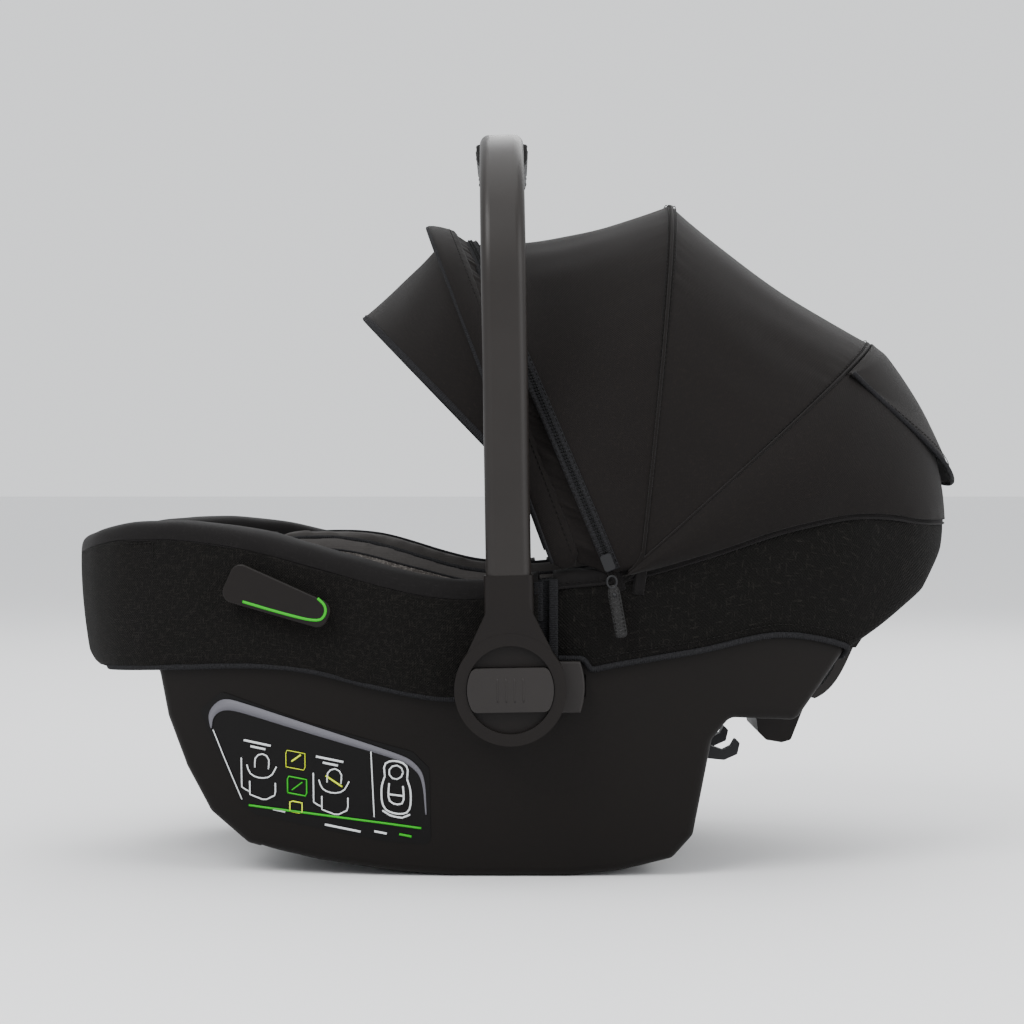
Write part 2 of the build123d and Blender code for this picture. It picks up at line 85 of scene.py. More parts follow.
class Side(Enum):
    """Which side of the seat a piece is on, as the sign of its Y."""

    LEFT = -1
    RIGHT = 1

    @property
    def word(self) -> str:
        """The side's name as the CAD nodes spell it."""
        return self.name.lower()


class Mapping(Enum):
    """Where a pattern takes its coordinates from."""

    CLOTH = "UV"
    SOLID = "Object"


# ---- Numbers and shapes -------------------------------------------------------------------
def smooth_height(curve: tuple, x: Points) -> Points:
    """Reads a height curve with smooth slopes between its points.

    Args:
        curve: (x, z) pairs in rising x.
        x: where to read it.
    Returns:
        The heights at x.
    """
    xs, zs = np.array(curve, float).T
    slope = np.gradient(zs, xs)
    x = np.clip(x, xs[0], xs[-1])
    i = np.clip(np.searchsorted(xs, x) - 1, 0, len(xs) - 2)
    h = xs[i + 1] - xs[i]
    t = (x - xs[i]) / h
    return (zs[i] * (1 + 2 * t) * (1 - t) ** 2 + zs[i + 1] * t * t * (3 - 2 * t)
            + h * slope[i] * t * (1 - t) ** 2 - h * slope[i + 1] * t * t * (1 - t))


def ease(t: Points) -> Points:
    """A smooth step from 0 to 1 as t goes from 0 to 1."""
    t = np.clip(t, 0, 1)
    return t * t * (3 - 2 * t)


def soft_min(a: Points, b: Points, blend: float) -> Points:
    """The lesser of a and b, rounded over about blend where they meet."""
    return 0.5 * (a + b - np.sqrt((a - b) ** 2 + blend ** 2))


def ripple(points: Points, size: float, seed: int, stretch: tuple = (1, 1, 1)) -> Points:
    """Smooth, seeded unevenness from -1 to 1, such as cloth has.

    Args:
        points: positions, in millimetres.
        size: the size of its bumps, in millimetres.
        seed: picks one pattern.
        stretch: how much longer the bumps are along each axis.
    Returns:
        One value for each point.
    """
    rng = np.random.default_rng(seed)
    waves = rng.normal(size=(14, 3)) / (size * np.array(stretch)) * 2.2
    phase = rng.uniform(0, 2 * math.pi, 14)
    return np.sin(points @ waves.T + phase).sum(-1) / 5.5


def along(path: Points) -> Points:
    """The length of a path from its start to each of its points."""
    return np.concatenate([[0], np.cumsum(np.linalg.norm(np.diff(path, axis=0), axis=1))])


def resample(path: Points, count: int) -> Points:
    """Points at even steps along a path."""
    run = along(path)
    even = np.linspace(0, run[-1], count)
    return np.stack([np.interp(even, run, path[:, k]) for k in range(path.shape[1])], -1)


def rounded_path(corners: Points, rounds: int = 3) -> Points:
    """Cuts a path's corners again and again, which leaves a smooth curve.

    Args:
        corners: the points to round off.
        rounds: how often each corner is cut.
    Returns:
        The smoother path, with the same ends.
    """
    path = np.array(corners, float)
    for _ in range(rounds):
        q = path[:-1] * 0.75 + path[1:] * 0.25
        r = path[:-1] * 0.25 + path[1:] * 0.75
        path = np.concatenate([path[:1], np.stack([q, r], 1).reshape(-1, path.shape[1]), path[-1:]])
    return path


# ---- Meshes -------------------------------------------------------------------------------
def make_object(name: str, verts: Points, faces: list) -> Piece:
    """Makes a smooth-shaded mesh object.

    Args:
        name: the piece's name.
        verts: points in millimetres.
        faces: vertex numbers of each face.
    Returns:
        The object, linked to the scene.
    """
    mesh = bpy.data.meshes.new(name)
    mesh.from_pydata((np.asarray(verts, float) * MM).tolist(), [], faces)
    mesh.shade_smooth()
    piece = bpy.data.objects.new(name, mesh)
    bpy.context.scene.collection.objects.link(piece)
    return piece


def loft(name: str, grid: Points, around: bool = False, lengthwise: bool = False,
         caps: bool = False, keep: Points | None = None) -> Piece:
    """Skins a grid of points with quads whose UVs are real lengths in metres.

    Args:
        name: the piece's name.
        grid: rows by columns by 3, in millimetres.
        around: whether the last column joins the first.
        lengthwise: whether the last row joins the first.
        caps: whether the first and last rows are closed with a face.
        keep: for each quad, whether it is made.
    Returns:
        The new object.
    """
    rows, cols = grid.shape[:2]
    ring = np.concatenate([grid, grid[:, :1]], 1) if around else grid
    ring = np.concatenate([ring, ring[:1]], 0) if lengthwise else ring
    u = np.concatenate([np.zeros((ring.shape[0], 1)),
        np.cumsum(np.linalg.norm(np.diff(ring, axis=1), axis=2), 1)], 1)
    v = np.concatenate([np.zeros((1, ring.shape[1])),
        np.cumsum(np.linalg.norm(np.diff(ring, axis=0), axis=2), 0)], 0)
    u = np.broadcast_to(u.mean(0), u.shape)
    r, c = np.meshgrid(np.arange(ring.shape[0] - 1), np.arange(ring.shape[1] - 1), indexing="ij")
    r, c = r.ravel(), c.ravel()
    if keep is not None:
        r, c = r[keep.ravel()], c[keep.ravel()]
    corners = [(r, c), (r, c + 1), (r + 1, c + 1), (r + 1, c)]
    faces = np.stack([(i % rows) * cols + j % cols for i, j in corners], -1)
    uv = np.stack([np.stack([u[i, j], v[i, j]], -1) for i, j in corners], 1).reshape(-1, 2)
    quads = faces.tolist()
    if caps:
        quads += [list(range(cols))[::-1], list(range((rows - 1) * cols, rows * cols))]
        uv = np.concatenate([uv, np.zeros((2 * cols, 2))])
    piece = make_object(name, grid.reshape(-1, 3), quads)
    layer = piece.data.uv_layers.new(name="cloth")
    layer.data.foreach_set("uv", (uv * MM).astype(np.float32).ravel())
    if keep is not None:
        drop_loose(piece)
    return piece


def drop_loose(piece: Piece) -> None:
    """Removes points that no face uses.

    Args:
        piece: the piece to clean.
    """
    shape = bmesh.new()
    shape.from_mesh(piece.data)
    bmesh.ops.delete(shape, geom=[v for v in shape.verts if not v.link_faces], context="VERTS")
    shape.to_mesh(piece.data)
    shape.free()


def frames_on(path: Points, outward: Points) -> tuple:
    """Side and outward vectors along a path, square to it.

    Args:
        path: the points.
        outward: about which way is out at each point, or one way for all.
    Returns:
        (side vectors, outward vectors), each as many as the points.
    """
    ahead = np.gradient(path, axis=0)
    ahead /= np.linalg.norm(ahead, axis=1, keepdims=True) + 1e-12
    out = np.broadcast_to(outward, path.shape).astype(float)
    out = out - (out * ahead).sum(1, keepdims=True) * ahead
    out /= np.linalg.norm(out, axis=1, keepdims=True) + 1e-12
    return np.cross(ahead, out), out


def sweep(name: str, path: Points, outward: Points, profile: Points,
          closed: bool = False) -> Piece:
    """Carries a closed profile along a path.

    Args:
        name: the piece's name.
        path: the points, in millimetres.
        outward: the profile's up direction at each point, or one for all.
        profile: (side, up) pairs, in millimetres.
        closed: whether the path's end joins its start.
    Returns:
        The new object, with closed ends.
    """
    side, out = frames_on(path, outward)
    grid = path[:, None] + side[:, None] * profile[None, :, :1] + out[:, None] * profile[None, :, 1:]
    return loft(name, grid, around=True, lengthwise=closed, caps=not closed)


def round_profile(radius: float, sides: int = 10) -> Points:
    """A circle as a profile."""
    turn = np.linspace(0, 2 * math.pi, sides, endpoint=False)
    return np.stack([np.cos(turn), np.sin(turn)], -1) * radius


def flat_profile(width: float, thick: float, lift: float = 0.0) -> Points:
    """A flat strap's section with round edges and slightly thicker selvedges.

    Args:
        width: the strap's width.
        thick: its thickness.
        lift: how far the section sits off its path.
    Returns:
        The section's points, as (across, up) pairs.
    """
    half, t = width / 2, thick / 2
    top = [(-half + t * 0.3, t * 0.8), (-half + 1.2, t * 1.25), (-half + 2.6, t), (0, t * 1.02),
           (half - 2.6, t), (half - 1.2, t * 1.25), (half - t * 0.3, t * 0.8), (half, 0)]
    under = [(-x, -z) for x, z in top]
    return np.array(top + under) + (0, lift)


def stitches(name: str, path: Points, outward: Points, step: float = 4.2, length: float = 2.9,
             radius: float = 0.42) -> Piece:
    """A row of sewn stitches, each a short thread that dips in at both ends.

    Args:
        name: the piece's name.
        path: where they run, in millimetres.
        outward: the surface's outward direction at each point, or one for all.
        step: from one stitch to the next.
        length: how much of each step the thread shows.
        radius: the thread's radius.
    Returns:
        All the stitches as one object.
    """
    run = along(path)
    count = max(2, int(run[-1] / step))
    out = np.broadcast_to(outward, path.shape)
    mid = (np.arange(count) + 0.5) * run[-1] / count
    read = lambda s, what: np.stack([np.interp(s, run, what[:, k]) for k in range(3)], -1)
    centre, up = read(mid, path), read(mid, out)
    ahead = read(mid + 0.4, path) - read(mid - 0.4, path)
    ahead /= np.linalg.norm(ahead, axis=1, keepdims=True) + 1e-9
    up /= np.linalg.norm(up, axis=1, keepdims=True) + 1e-9
    side = np.cross(ahead, up)
    turn = np.linspace(0, 2 * math.pi, 6, endpoint=False)
    rings = []
    for share, fat, dip in ((-0.5, 0.35, -0.7), (-0.3, 0.95, 0.25), (0, 1, 0.45), (0.3, 0.95, 0.25),
        (0.5, 0.35, -0.7)):
        base = centre + ahead * share * length + up * dip * radius
        rings.append(base[:, None] + (side[:, None] * np.cos(turn)[None, :, None]
                                      + up[:, None] * np.sin(turn)[None, :, None]) * radius * fat)
    verts = np.stack(rings, 1).reshape(-1, 3)
    faces = []
    for k in range(count):
        base = k * 30
        for ring in range(4):
            for j in range(6):
                a, b = base + ring * 6 + j, base + ring * 6 + (j + 1) % 6
                faces.append([a, b, b + 6, a + 6])
        faces += [[base + j for j in range(6)][::-1], [base + 24 + j for j in range(6)]]
    return make_object(name, verts, faces)


def thicken(piece: Piece, thick: float, offset: float = -1.0) -> Piece:
    """Gives a sheet its thickness, inward unless offset says otherwise.

    Args:
        piece: the sheet.
        thick: its thickness.
        offset: -1 for inward, 0 for both ways, 1 for outward.
    Returns:
        The same piece.
    """
    solid = piece.modifiers.new("thickness", "SOLIDIFY")
    solid.thickness = thick * MM
    solid.offset = offset
    solid.use_even_offset = False
    return piece


def round_over(piece: Piece, width: float, segments: int = 2) -> None:
    """Rounds a piece's sharp edges a little, as moulding leaves them.

    Args:
        piece: the piece.
        width: how much of each edge goes.
        segments: how many faces the round has.
    """
    bevel = piece.modifiers.new("edges", "BEVEL")
    bevel.width = width * MM
    bevel.segments = segments
    bevel.limit_method = "ANGLE"
    bevel.angle_limit = math.radians(38)
    bevel.harden_normals = False


# ---- Finishes -----------------------------------------------------------------------------
def linear(colour: str) -> tuple:
    """Turns an sRGB hex colour into linear red, green, blue and alpha."""
    values = [int(colour[i:i + 2], 16) / 255 for i in (1, 3, 5)]
    return tuple(v / 12.92 if v <= 0.04045 else ((v + 0.055) / 1.055) ** 2.4 for v in values) + (1.0,)


def add_node(tree: Tree, kind: str, settings: dict | None = None,
             links: dict | None = None) -> Node:
    """Adds one shader node.

    Args:
        tree: the material's node tree.
        kind: the node's type, without its ShaderNode prefix.
        settings: values by input name, input number or property name.
        links: output sockets by the input name or number that they feed.
    Returns:
        The node.
    """
    made = tree.nodes.new("ShaderNode" + kind)
    for key, value in (settings or {}).items():
        if isinstance(key, int) or key in made.inputs:
            made.inputs[key].default_value = value
        else:
            setattr(made, key, value)
    for key, socket in (links or {}).items():
        tree.links.new(socket, made.inputs[key])
    return made


@dataclass(frozen=True)
class Finish:
    """A finish with one colour, one roughness and no pattern. The others build on it."""

    name: str
    colour: str
    roughness: float = 0.5
    metallic: float = 0.0
    ior: float = 1.46
    sheen: float = 0.0
    coat: float = 0.0
    specular: float = 0.35
    mapping: Mapping = Mapping.SOLID

    def make(self) -> Material:
        """Makes the material, or returns the one made before.

        Returns:
            The material.
        """
        if self.name in bpy.data.materials:
            return bpy.data.materials[self.name]
        material = bpy.data.materials.new(self.name)
        material.use_nodes = True
        tree = material.node_tree
        tree.nodes.clear()
        shader = add_node(tree, "BsdfPrincipled", {
            "Base Color": linear(self.colour), "Roughness": self.roughness, "Metallic": self.metallic,
            "IOR": self.ior, "Sheen Weight": self.sheen, "Sheen Roughness": 0.45, "Coat Weight": self.coat,
            "Coat Roughness": 0.25, "Specular IOR Level": self.specular})
        add_node(tree, "OutputMaterial", links={"Surface": shader.outputs[0]})
        where = add_node(tree, "TexCoord").outputs[self.mapping.value]
        self.pattern(tree, shader, where)
        return material

    def pattern(self, tree: Tree, shader: Node, where: Socket) -> None:
        """Adds the pattern: none here."""

    def mix(self, tree: Tree, factor: Socket, low: str, high: str) -> Socket:
        """A colour that goes from low to high with factor."""
        blend = add_node(tree, "Mix", {"data_type": "RGBA", 6: linear(low), 7: linear(high)}, {0: factor})
        return blend.outputs[2]

    def noise(self, tree: Tree, where: Socket, size: float, detail: float = 3,
              stretch: tuple = (1, 1, 1)) -> Socket:
        """Noise whose grains are about size millimetres, longer where stretch is over 1.

        Args:
            tree: the nodes.
            where: the coordinates.
            size: the size of its grains.
            detail: how many finer layers it has.
            stretch: how much longer the grains are on each axis.
        Returns:
            A value from 0 to 1.
        """
        scale = tuple(1 / (size * MM * s) for s in stretch)
        placed = add_node(tree, "Mapping", {"Scale": scale}, {"Vector": where})
        return add_node(tree, "TexNoise", {"Scale": 1.0, "Detail": detail, "Roughness": 0.6},
                        {"Vector": placed.outputs[0]}).outputs["Fac"]

    def maths(self, tree: Tree, operation: str, a: Value, b: Value = 0.0,
              c: Value | None = None) -> Socket:
        """One maths step on numbers or sockets.

        Args:
            tree: the nodes.
            operation: the step's name.
            a: the first value.
            b: the second value.
            c: the third value, for the steps that take one.
        Returns:
            The step's result.
        """
        step = add_node(tree, "Math", {"operation": operation})
        for i, value in enumerate((a, b, c)):
            if isinstance(value, (int, float)):
                step.inputs[i].default_value = value
            elif value is not None:
                tree.links.new(value, step.inputs[i])
        return step.outputs[0]

    def relief(self, tree: Tree, shader: Node, height: Socket, depth: float,
               strength: float = 1.0) -> None:
        """Raises the surface by height times depth millimetres."""
        bump = add_node(tree, "Bump", {"Strength": strength, "Distance": depth * MM}, {"Height": height})
        tree.links.new(bump.outputs[0], shader.inputs["Normal"])

    def vary_roughness(self, tree: Tree, shader: Node, factor: Socket,
                       spread: float) -> None:
        """Lets the roughness wander by spread to each side.

        Args:
            tree: the nodes.
            shader: the surface shader.
            factor: what it follows, from 0 to 1.
            spread: how far it goes to each side.
        """
        value = add_node(tree, "MapRange",
                         {"To Min": self.roughness - spread, "To Max": self.roughness + spread},
                         {"Value": factor})
        tree.links.new(value.outputs[0], shader.inputs["Roughness"])


@dataclass(frozen=True)
class Moulded(Finish):
    """Injection-moulded plastic: fine spark-eroded grain that breaks up the highlight."""

    grain: float = 0.9          # real grain is near 0.1 mm; drawn coarser, so that it shows
    depth: float = 0.05
    worn: str = ""

    def pattern(self, tree: Tree, shader: Node, where: Socket) -> None:
        """Adds the grain and a slow colour drift, with roughness that follows the drift.

        Args:
            tree: the nodes.
            shader: the surface shader.
            where: the coordinates.
        """
        fine = self.noise(tree, where, self.grain, 2)
        slow = self.noise(tree, where, 45, 3)
        tone = self.mix(tree, slow, self.colour, self.worn or self.colour)
        tree.links.new(tone, shader.inputs["Base Color"])
        self.vary_roughness(tree, shader, slow, 0.07)
        self.relief(tree, shader, fine, self.depth)


@dataclass(frozen=True)
class Woven(Finish):
    """Woven polyester: threads over and under, with a soft sheen at grazing angles."""

    thread: float = 1.5         # real threads are near 0.5 mm; drawn as coarse as can show
    fleck: str = "#3a3a3c"
    flecks: float = 0.35        # how much of the surface the lighter fibres take
    fleck_size: float = 1.6
    depth: float = 0.35
    drift: float = 0.5

    def pattern(self, tree: Tree, shader: Node, where: Socket) -> None:
        """Adds warp and weft, melange flecks and slow unevenness.

        Args:
            tree: the nodes.
            shader: the surface shader.
            where: the coordinates.
        """
        split = add_node(tree, "SeparateXYZ", links={0: where})
        rate = 2 * math.pi / (self.thread * MM)
        warp = self.maths(tree, "SINE", self.maths(tree, "MULTIPLY", split.outputs[0], rate))
        weft = self.maths(tree, "SINE", self.maths(tree, "MULTIPLY", split.outputs[1], rate))
        cross = self.maths(tree, "MULTIPLY_ADD", self.maths(tree, "MULTIPLY", warp, weft), 0.5, 0.5)
        lengthwise = self.noise(tree, where, self.fleck_size, 2, (1, 5, 1))
        crosswise = self.noise(tree, where, self.fleck_size, 2, (5, 1, 1))
        fibre = self.maths(tree, "MAXIMUM", lengthwise, crosswise)
        low, high = 0.72 - self.flecks * 0.45, 0.86 - self.flecks * 0.35
        light = add_node(tree, "MapRange", {"From Min": low, "From Max": high}, {"Value": fibre}).outputs[0]
        slow = self.noise(tree, where, 60, 2)
        share = self.maths(tree, "MULTIPLY", light,
            self.maths(tree, "MULTIPLY_ADD", slow, self.drift, 1 - self.drift / 2))
        tree.links.new(self.mix(tree, share, self.colour, self.fleck), shader.inputs["Base Color"])
        height = self.maths(tree, "MULTIPLY_ADD", fibre, 0.7, cross)
        self.relief(tree, shader, height, self.depth)


@dataclass(frozen=True)
class Jersey(Finish):
    """Knitted jersey: rows of small loops, matt, with a faint nap."""

    loop: float = 2.0           # real loops are near 1 mm; drawn coarser, so that they show
    fleck: str = "#4a4a4d"
    depth: float = 0.45

    def pattern(self, tree: Tree, shader: Node, where: Socket) -> None:
        """Adds the loops, a heathered tone and the nap.

        Args:
            tree: the nodes.
            shader: the surface shader.
            where: the coordinates.
        """
        split = add_node(tree, "SeparateXYZ", links={0: where})
        rate = 2 * math.pi / (self.loop * MM)
        waves = [self.maths(tree, "SINE", self.maths(tree, "MULTIPLY", split.outputs[i], rate * k))
                 for i, k in ((0, 1.0), (1, 1.0), (2, 0.8))]
        loops = self.maths(tree, "MULTIPLY_ADD",
            self.maths(tree, "ADD", self.maths(tree, "MULTIPLY", waves[0], waves[1]), waves[2]), 0.25, 0.5)
        heather = self.noise(tree, where, 1.8, 3)
        slow = self.noise(tree, where, 70, 2)
        tone = self.maths(tree, "MULTIPLY_ADD", heather, 0.8, self.maths(tree, "MULTIPLY", slow, 0.35))
        tree.links.new(self.mix(tree, tone, self.colour, self.fleck), shader.inputs["Base Color"])
        self.relief(tree, shader, self.maths(tree, "MULTIPLY_ADD", heather, 0.6, loops), self.depth)


@dataclass(frozen=True)
class Grained(Finish):
    """Leatherette: pebbled vinyl, darker in its creases, where the darkening is painted shade."""

    pebble: float = 2.2

    def pattern(self, tree: Tree, shader: Node, where: Socket) -> None:
        """Adds the pebbles, and painted shade in the creases between them.

        Args:
            tree: the nodes.
            shader: the surface shader.
            where: the coordinates.
        """
        placed = add_node(tree, "Mapping", {"Scale": (1 / (self.pebble * MM),) * 3}, {"Vector": where})
        cells = add_node(tree, "TexVoronoi", {"feature": "DISTANCE_TO_EDGE", "Scale": 1.0},
            {"Vector": placed.outputs[0]})
        domed = add_node(tree, "MapRange", {"From Max": 0.22}, {"Value": cells.outputs["Distance"]}).outputs[0]
        # Painted shade: the crease tone #0c0b0b is mixed in where the pebbles meet.
        tree.links.new(self.mix(tree, domed, "#0c0b0b", self.colour), shader.inputs["Base Color"])
        self.relief(tree, shader, domed, 0.25)


@dataclass(frozen=True)
class Netted(Finish):
    """Knitted spacer mesh: round holes in staggered rows, painted near-black as painted shade of the dark behind
    them.
    """

    hole: float = 3.2

    def pattern(self, tree: Tree, shader: Node, where: Socket) -> None:
        """Adds the holes, painted near-black as painted shade.

        Args:
            tree: the nodes.
            shader: the surface shader.
            where: the coordinates.
        """
        placed = add_node(tree, "Mapping", {"Scale": (1 / (self.hole * MM),) * 3}, {"Vector": where})
        cells = add_node(tree, "TexVoronoi", {"Scale": 1.0, "Randomness": 0.08}, {"Vector": placed.outputs[0]})
        rim = add_node(tree, "MapRange", {"From Min": 0.25, "From Max": 0.42},
            {"Value": cells.outputs["Distance"]}).outputs[0]
        # The holes are not cut: #020202 is painted shade, standing for the dark inside seen through them.
        tree.links.new(self.mix(tree, rim, "#020202", self.colour), shader.inputs["Base Color"])
        self.relief(tree, shader, rim, 0.8)


@dataclass(frozen=True)
class Ribbed(Finish):
    """Woven webbing: a close rib across the strap."""

    rib: float = 1.8

    def pattern(self, tree: Tree, shader: Node, where: Socket) -> None:
        """Adds the ribs and a slight mottle.

        Args:
            tree: the nodes.
            shader: the surface shader.
            where: the coordinates.
        """
        split = add_node(tree, "SeparateXYZ", links={0: where})
        rate = 2 * math.pi / (self.rib * MM)
        rib = self.maths(tree, "MULTIPLY_ADD",
            self.maths(tree, "SINE", self.maths(tree, "MULTIPLY", split.outputs[1], rate)), 0.5, 0.5)
        mottle = self.noise(tree, where, 1.5, 2)
        tree.links.new(self.mix(tree, mottle, self.colour, "#2b2b2d"), shader.inputs["Base Color"])
        self.relief(tree, shader, self.maths(tree, "MULTIPLY_ADD", mottle, 0.5, rib), 0.3)


class Finishes:
    """Every finish on the seat, by the name of what it is."""

    # Satin side walls, nearly black, with a brown warmth where light rakes across them.
    shell = Moulded("moulded polypropylene, warm black", "#0c0908", 0.55, specular=0.14, worn="#100d0b",
        grain=0.8, depth=0.06)
    # A little smoother than the shell, so the hubs catch a soft edge light.
    hub = Moulded("moulded ABS, warm black", "#0e0b0a", 0.46, specular=0.18, worn="#130f0d", grain=0.7,
        depth=0.03)
    # A step lighter than what is round it, so the eye finds what to press.
    button = Moulded("moulded ABS, dark grey", "#201e1d", 0.46, specular=0.2, worn="#272423", grain=0.7,
        depth=0.03)
    # The plain dark inside of the bucket, which recedes behind the padding.
    inner = Moulded("moulded polypropylene, black", "#090909", 0.5, specular=0.15, worn="#0d0d0d")
    # The one red part: the harness button is found at a glance.
    red = Moulded("moulded ABS, red", "#a3160f", 0.35, worn="#b01c14", depth=0.02)
    # Powder coat: one long, soft highlight runs up each leg of the handle.
    tube = Moulded("powder-coated aluminium, grey brown", "#181513", 0.42, specular=0.3, coat=0.04,
        worn="#1d1917", grain=0.5, depth=0.02)
    # Bright pins and bolt heads, with small sharp glints.
    steel = Finish("zinc-plated steel", "#8a8a8c", 0.32, metallic=1.0, ior=1.5, specular=0.5)
    # A dull metal shine, for the hooks and for the zip's slider and ring.
    dark_steel = Finish("black-passivated steel", "#2a2a2b", 0.42, metallic=0.8, ior=1.5)
    # Fine pebble grain with a low gloss, softer than the tube beside it.
    leather = Grained("leatherette, black", "#0b0a09", 0.48, specular=0.3, mapping=Mapping.CLOTH)
    # A dry black cloth, whose paler fibres keep it from looking moulded.
    melange = Woven("woven polyester, melange black", "#0d0c0b", 0.9, sheen=0.02, specular=0.1, thread=2.0,
        fleck="#1c1a18", flecks=0.4, fleck_size=1.1, mapping=Mapping.CLOTH)
    # Coarser and rougher than the foot cover, so the two part at the handle.
    canvas = Woven("woven canvas, coarse black", "#0d0c0b", 0.92, sheen=0.02, specular=0.1, thread=2.6,
        fleck="#1d1b19", flecks=0.3, fleck_size=1.8, depth=0.6, mapping=Mapping.CLOTH)
    # Tight, smooth cloth that shows its folds through soft shading alone.
    canopy = Woven("woven polyester, fine warm black", "#0f0c0b", 0.84, sheen=0.04, specular=0.15, thread=1.6,
        fleck="#171311", flecks=0.3, fleck_size=1.2, depth=0.12, mapping=Mapping.CLOTH)
    # The smooth band along the rim, quieter than the melange below it.
    border = Woven("woven polyester, smooth black", "#0d0b0b", 0.8, sheen=0.04, specular=0.15, thread=1.6,
        fleck="#161414", flecks=0.3, fleck_size=1.2, depth=0.1, mapping=Mapping.CLOTH)
    # Narrow ribbed edging, which draws a fine dark line round each panel.
    binding = Ribbed("woven binding tape, black", "#060505", 0.8, sheen=0.0, specular=0.08, rib=1.6,
        mapping=Mapping.CLOTH)
    # Close ribs across the straps, with a slight shine on their edges.
    webbing = Ribbed("woven harness webbing, black", "#101011", 0.6, sheen=0.04, specular=0.25,
        mapping=Mapping.CLOTH)
    # Stitches a shade lighter than the cloth that they hold.
    thread = Finish("bonded nylon thread, charcoal", "#141312", 0.7, specular=0.1)
    # Soft grey knit: the lightest cloth, and the inviting inside of the seat.
    jersey = Jersey("knitted jersey, mid grey", "#2d2b2a", 0.95, sheen=0.04, specular=0.12, loop=1.3,
        depth=0.12, fleck="#3b3938")
    # Salt-and-pepper grey on the insert's sides, between its grey and the black.
    strip = Woven("woven polyester, melange grey", "#353230", 0.92, sheen=0.05, specular=0.15, thread=2.0,
        fleck="#5d5956", flecks=0.5, fleck_size=1.3)
    # Matt black knit with small loops, under the child.
    knit = Jersey("knitted polyester, black", "#0d0d0d", 0.95, sheen=0.03, specular=0.15, loop=1.5, depth=0.18,
        fleck="#171717")
    # A grid of small holes behind the rear flap, painted dark as painted shade.
    net = Netted("spacer mesh, black", "#121212", 0.85, specular=0.15, mapping=Mapping.CLOTH)
    # A smooth dark label, which shows only by its edge and its even gloss.
    film = Moulded("printed vinyl film, black", "#080707", 0.45, specular=0.14, worn="#0b0a0a", grain=3,
        depth=0.01)
    # Flat pale ink: crisp outlines on the label.
    print_white = Finish("screen ink, light grey", "#c9cccd", 0.5)
    # Quiet grey ink, for the label's swept band.
    print_grey = Finish("screen ink, mid grey", "#5a595f", 0.55)
    # Bright yellow ink, for the label's small marks.
    print_yellow = Finish("screen ink, yellow", "#c8d81e", 0.5)
    # The one accent: a clear green line where the belt goes.
    green = Finish("thermoplastic rubber, green", "#1f9a12", 0.45, specular=0.2)


def dress(piece: Piece, finish: Finish) -> Piece:
    """Gives a piece its finish.

    Args:
        piece: the piece.
        finish: its finish.
    Returns:
        The same piece.
    """
    piece.data.materials.clear()
    piece.data.materials.append(finish.make())
    return piece


def settle(piece: Piece, body: str, replaces: tuple = ()) -> Piece:
    """Fixes a piece to a CAD body, and lets it stand for CAD nodes.

    Args:
        piece: the piece.
        body: the CAD body that it moves with.
        replaces: the CAD nodes that it stands for.
    Returns:
        The same piece.
    """
    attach(piece, body)
    if replaces:
        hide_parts(*replaces)
    LOG.info("%s rides on %s", piece.name, body)
    return piece


def join(name: str, pieces: list) -> Piece:
    """Joins pieces of one finish into one object.

    Args:
        name: the joined piece's name.
        pieces: the pieces, all of one finish.
    Returns:
        The joined piece.
    """
    bpy.ops.object.select_all(action="DESELECT")
    for piece in pieces:
        piece.select_set(True)
    bpy.context.view_layer.objects.active = pieces[0]
    if len(pieces) > 1:
        bpy.ops.object.join()
    pieces[0].name = name
    return pieces[0]


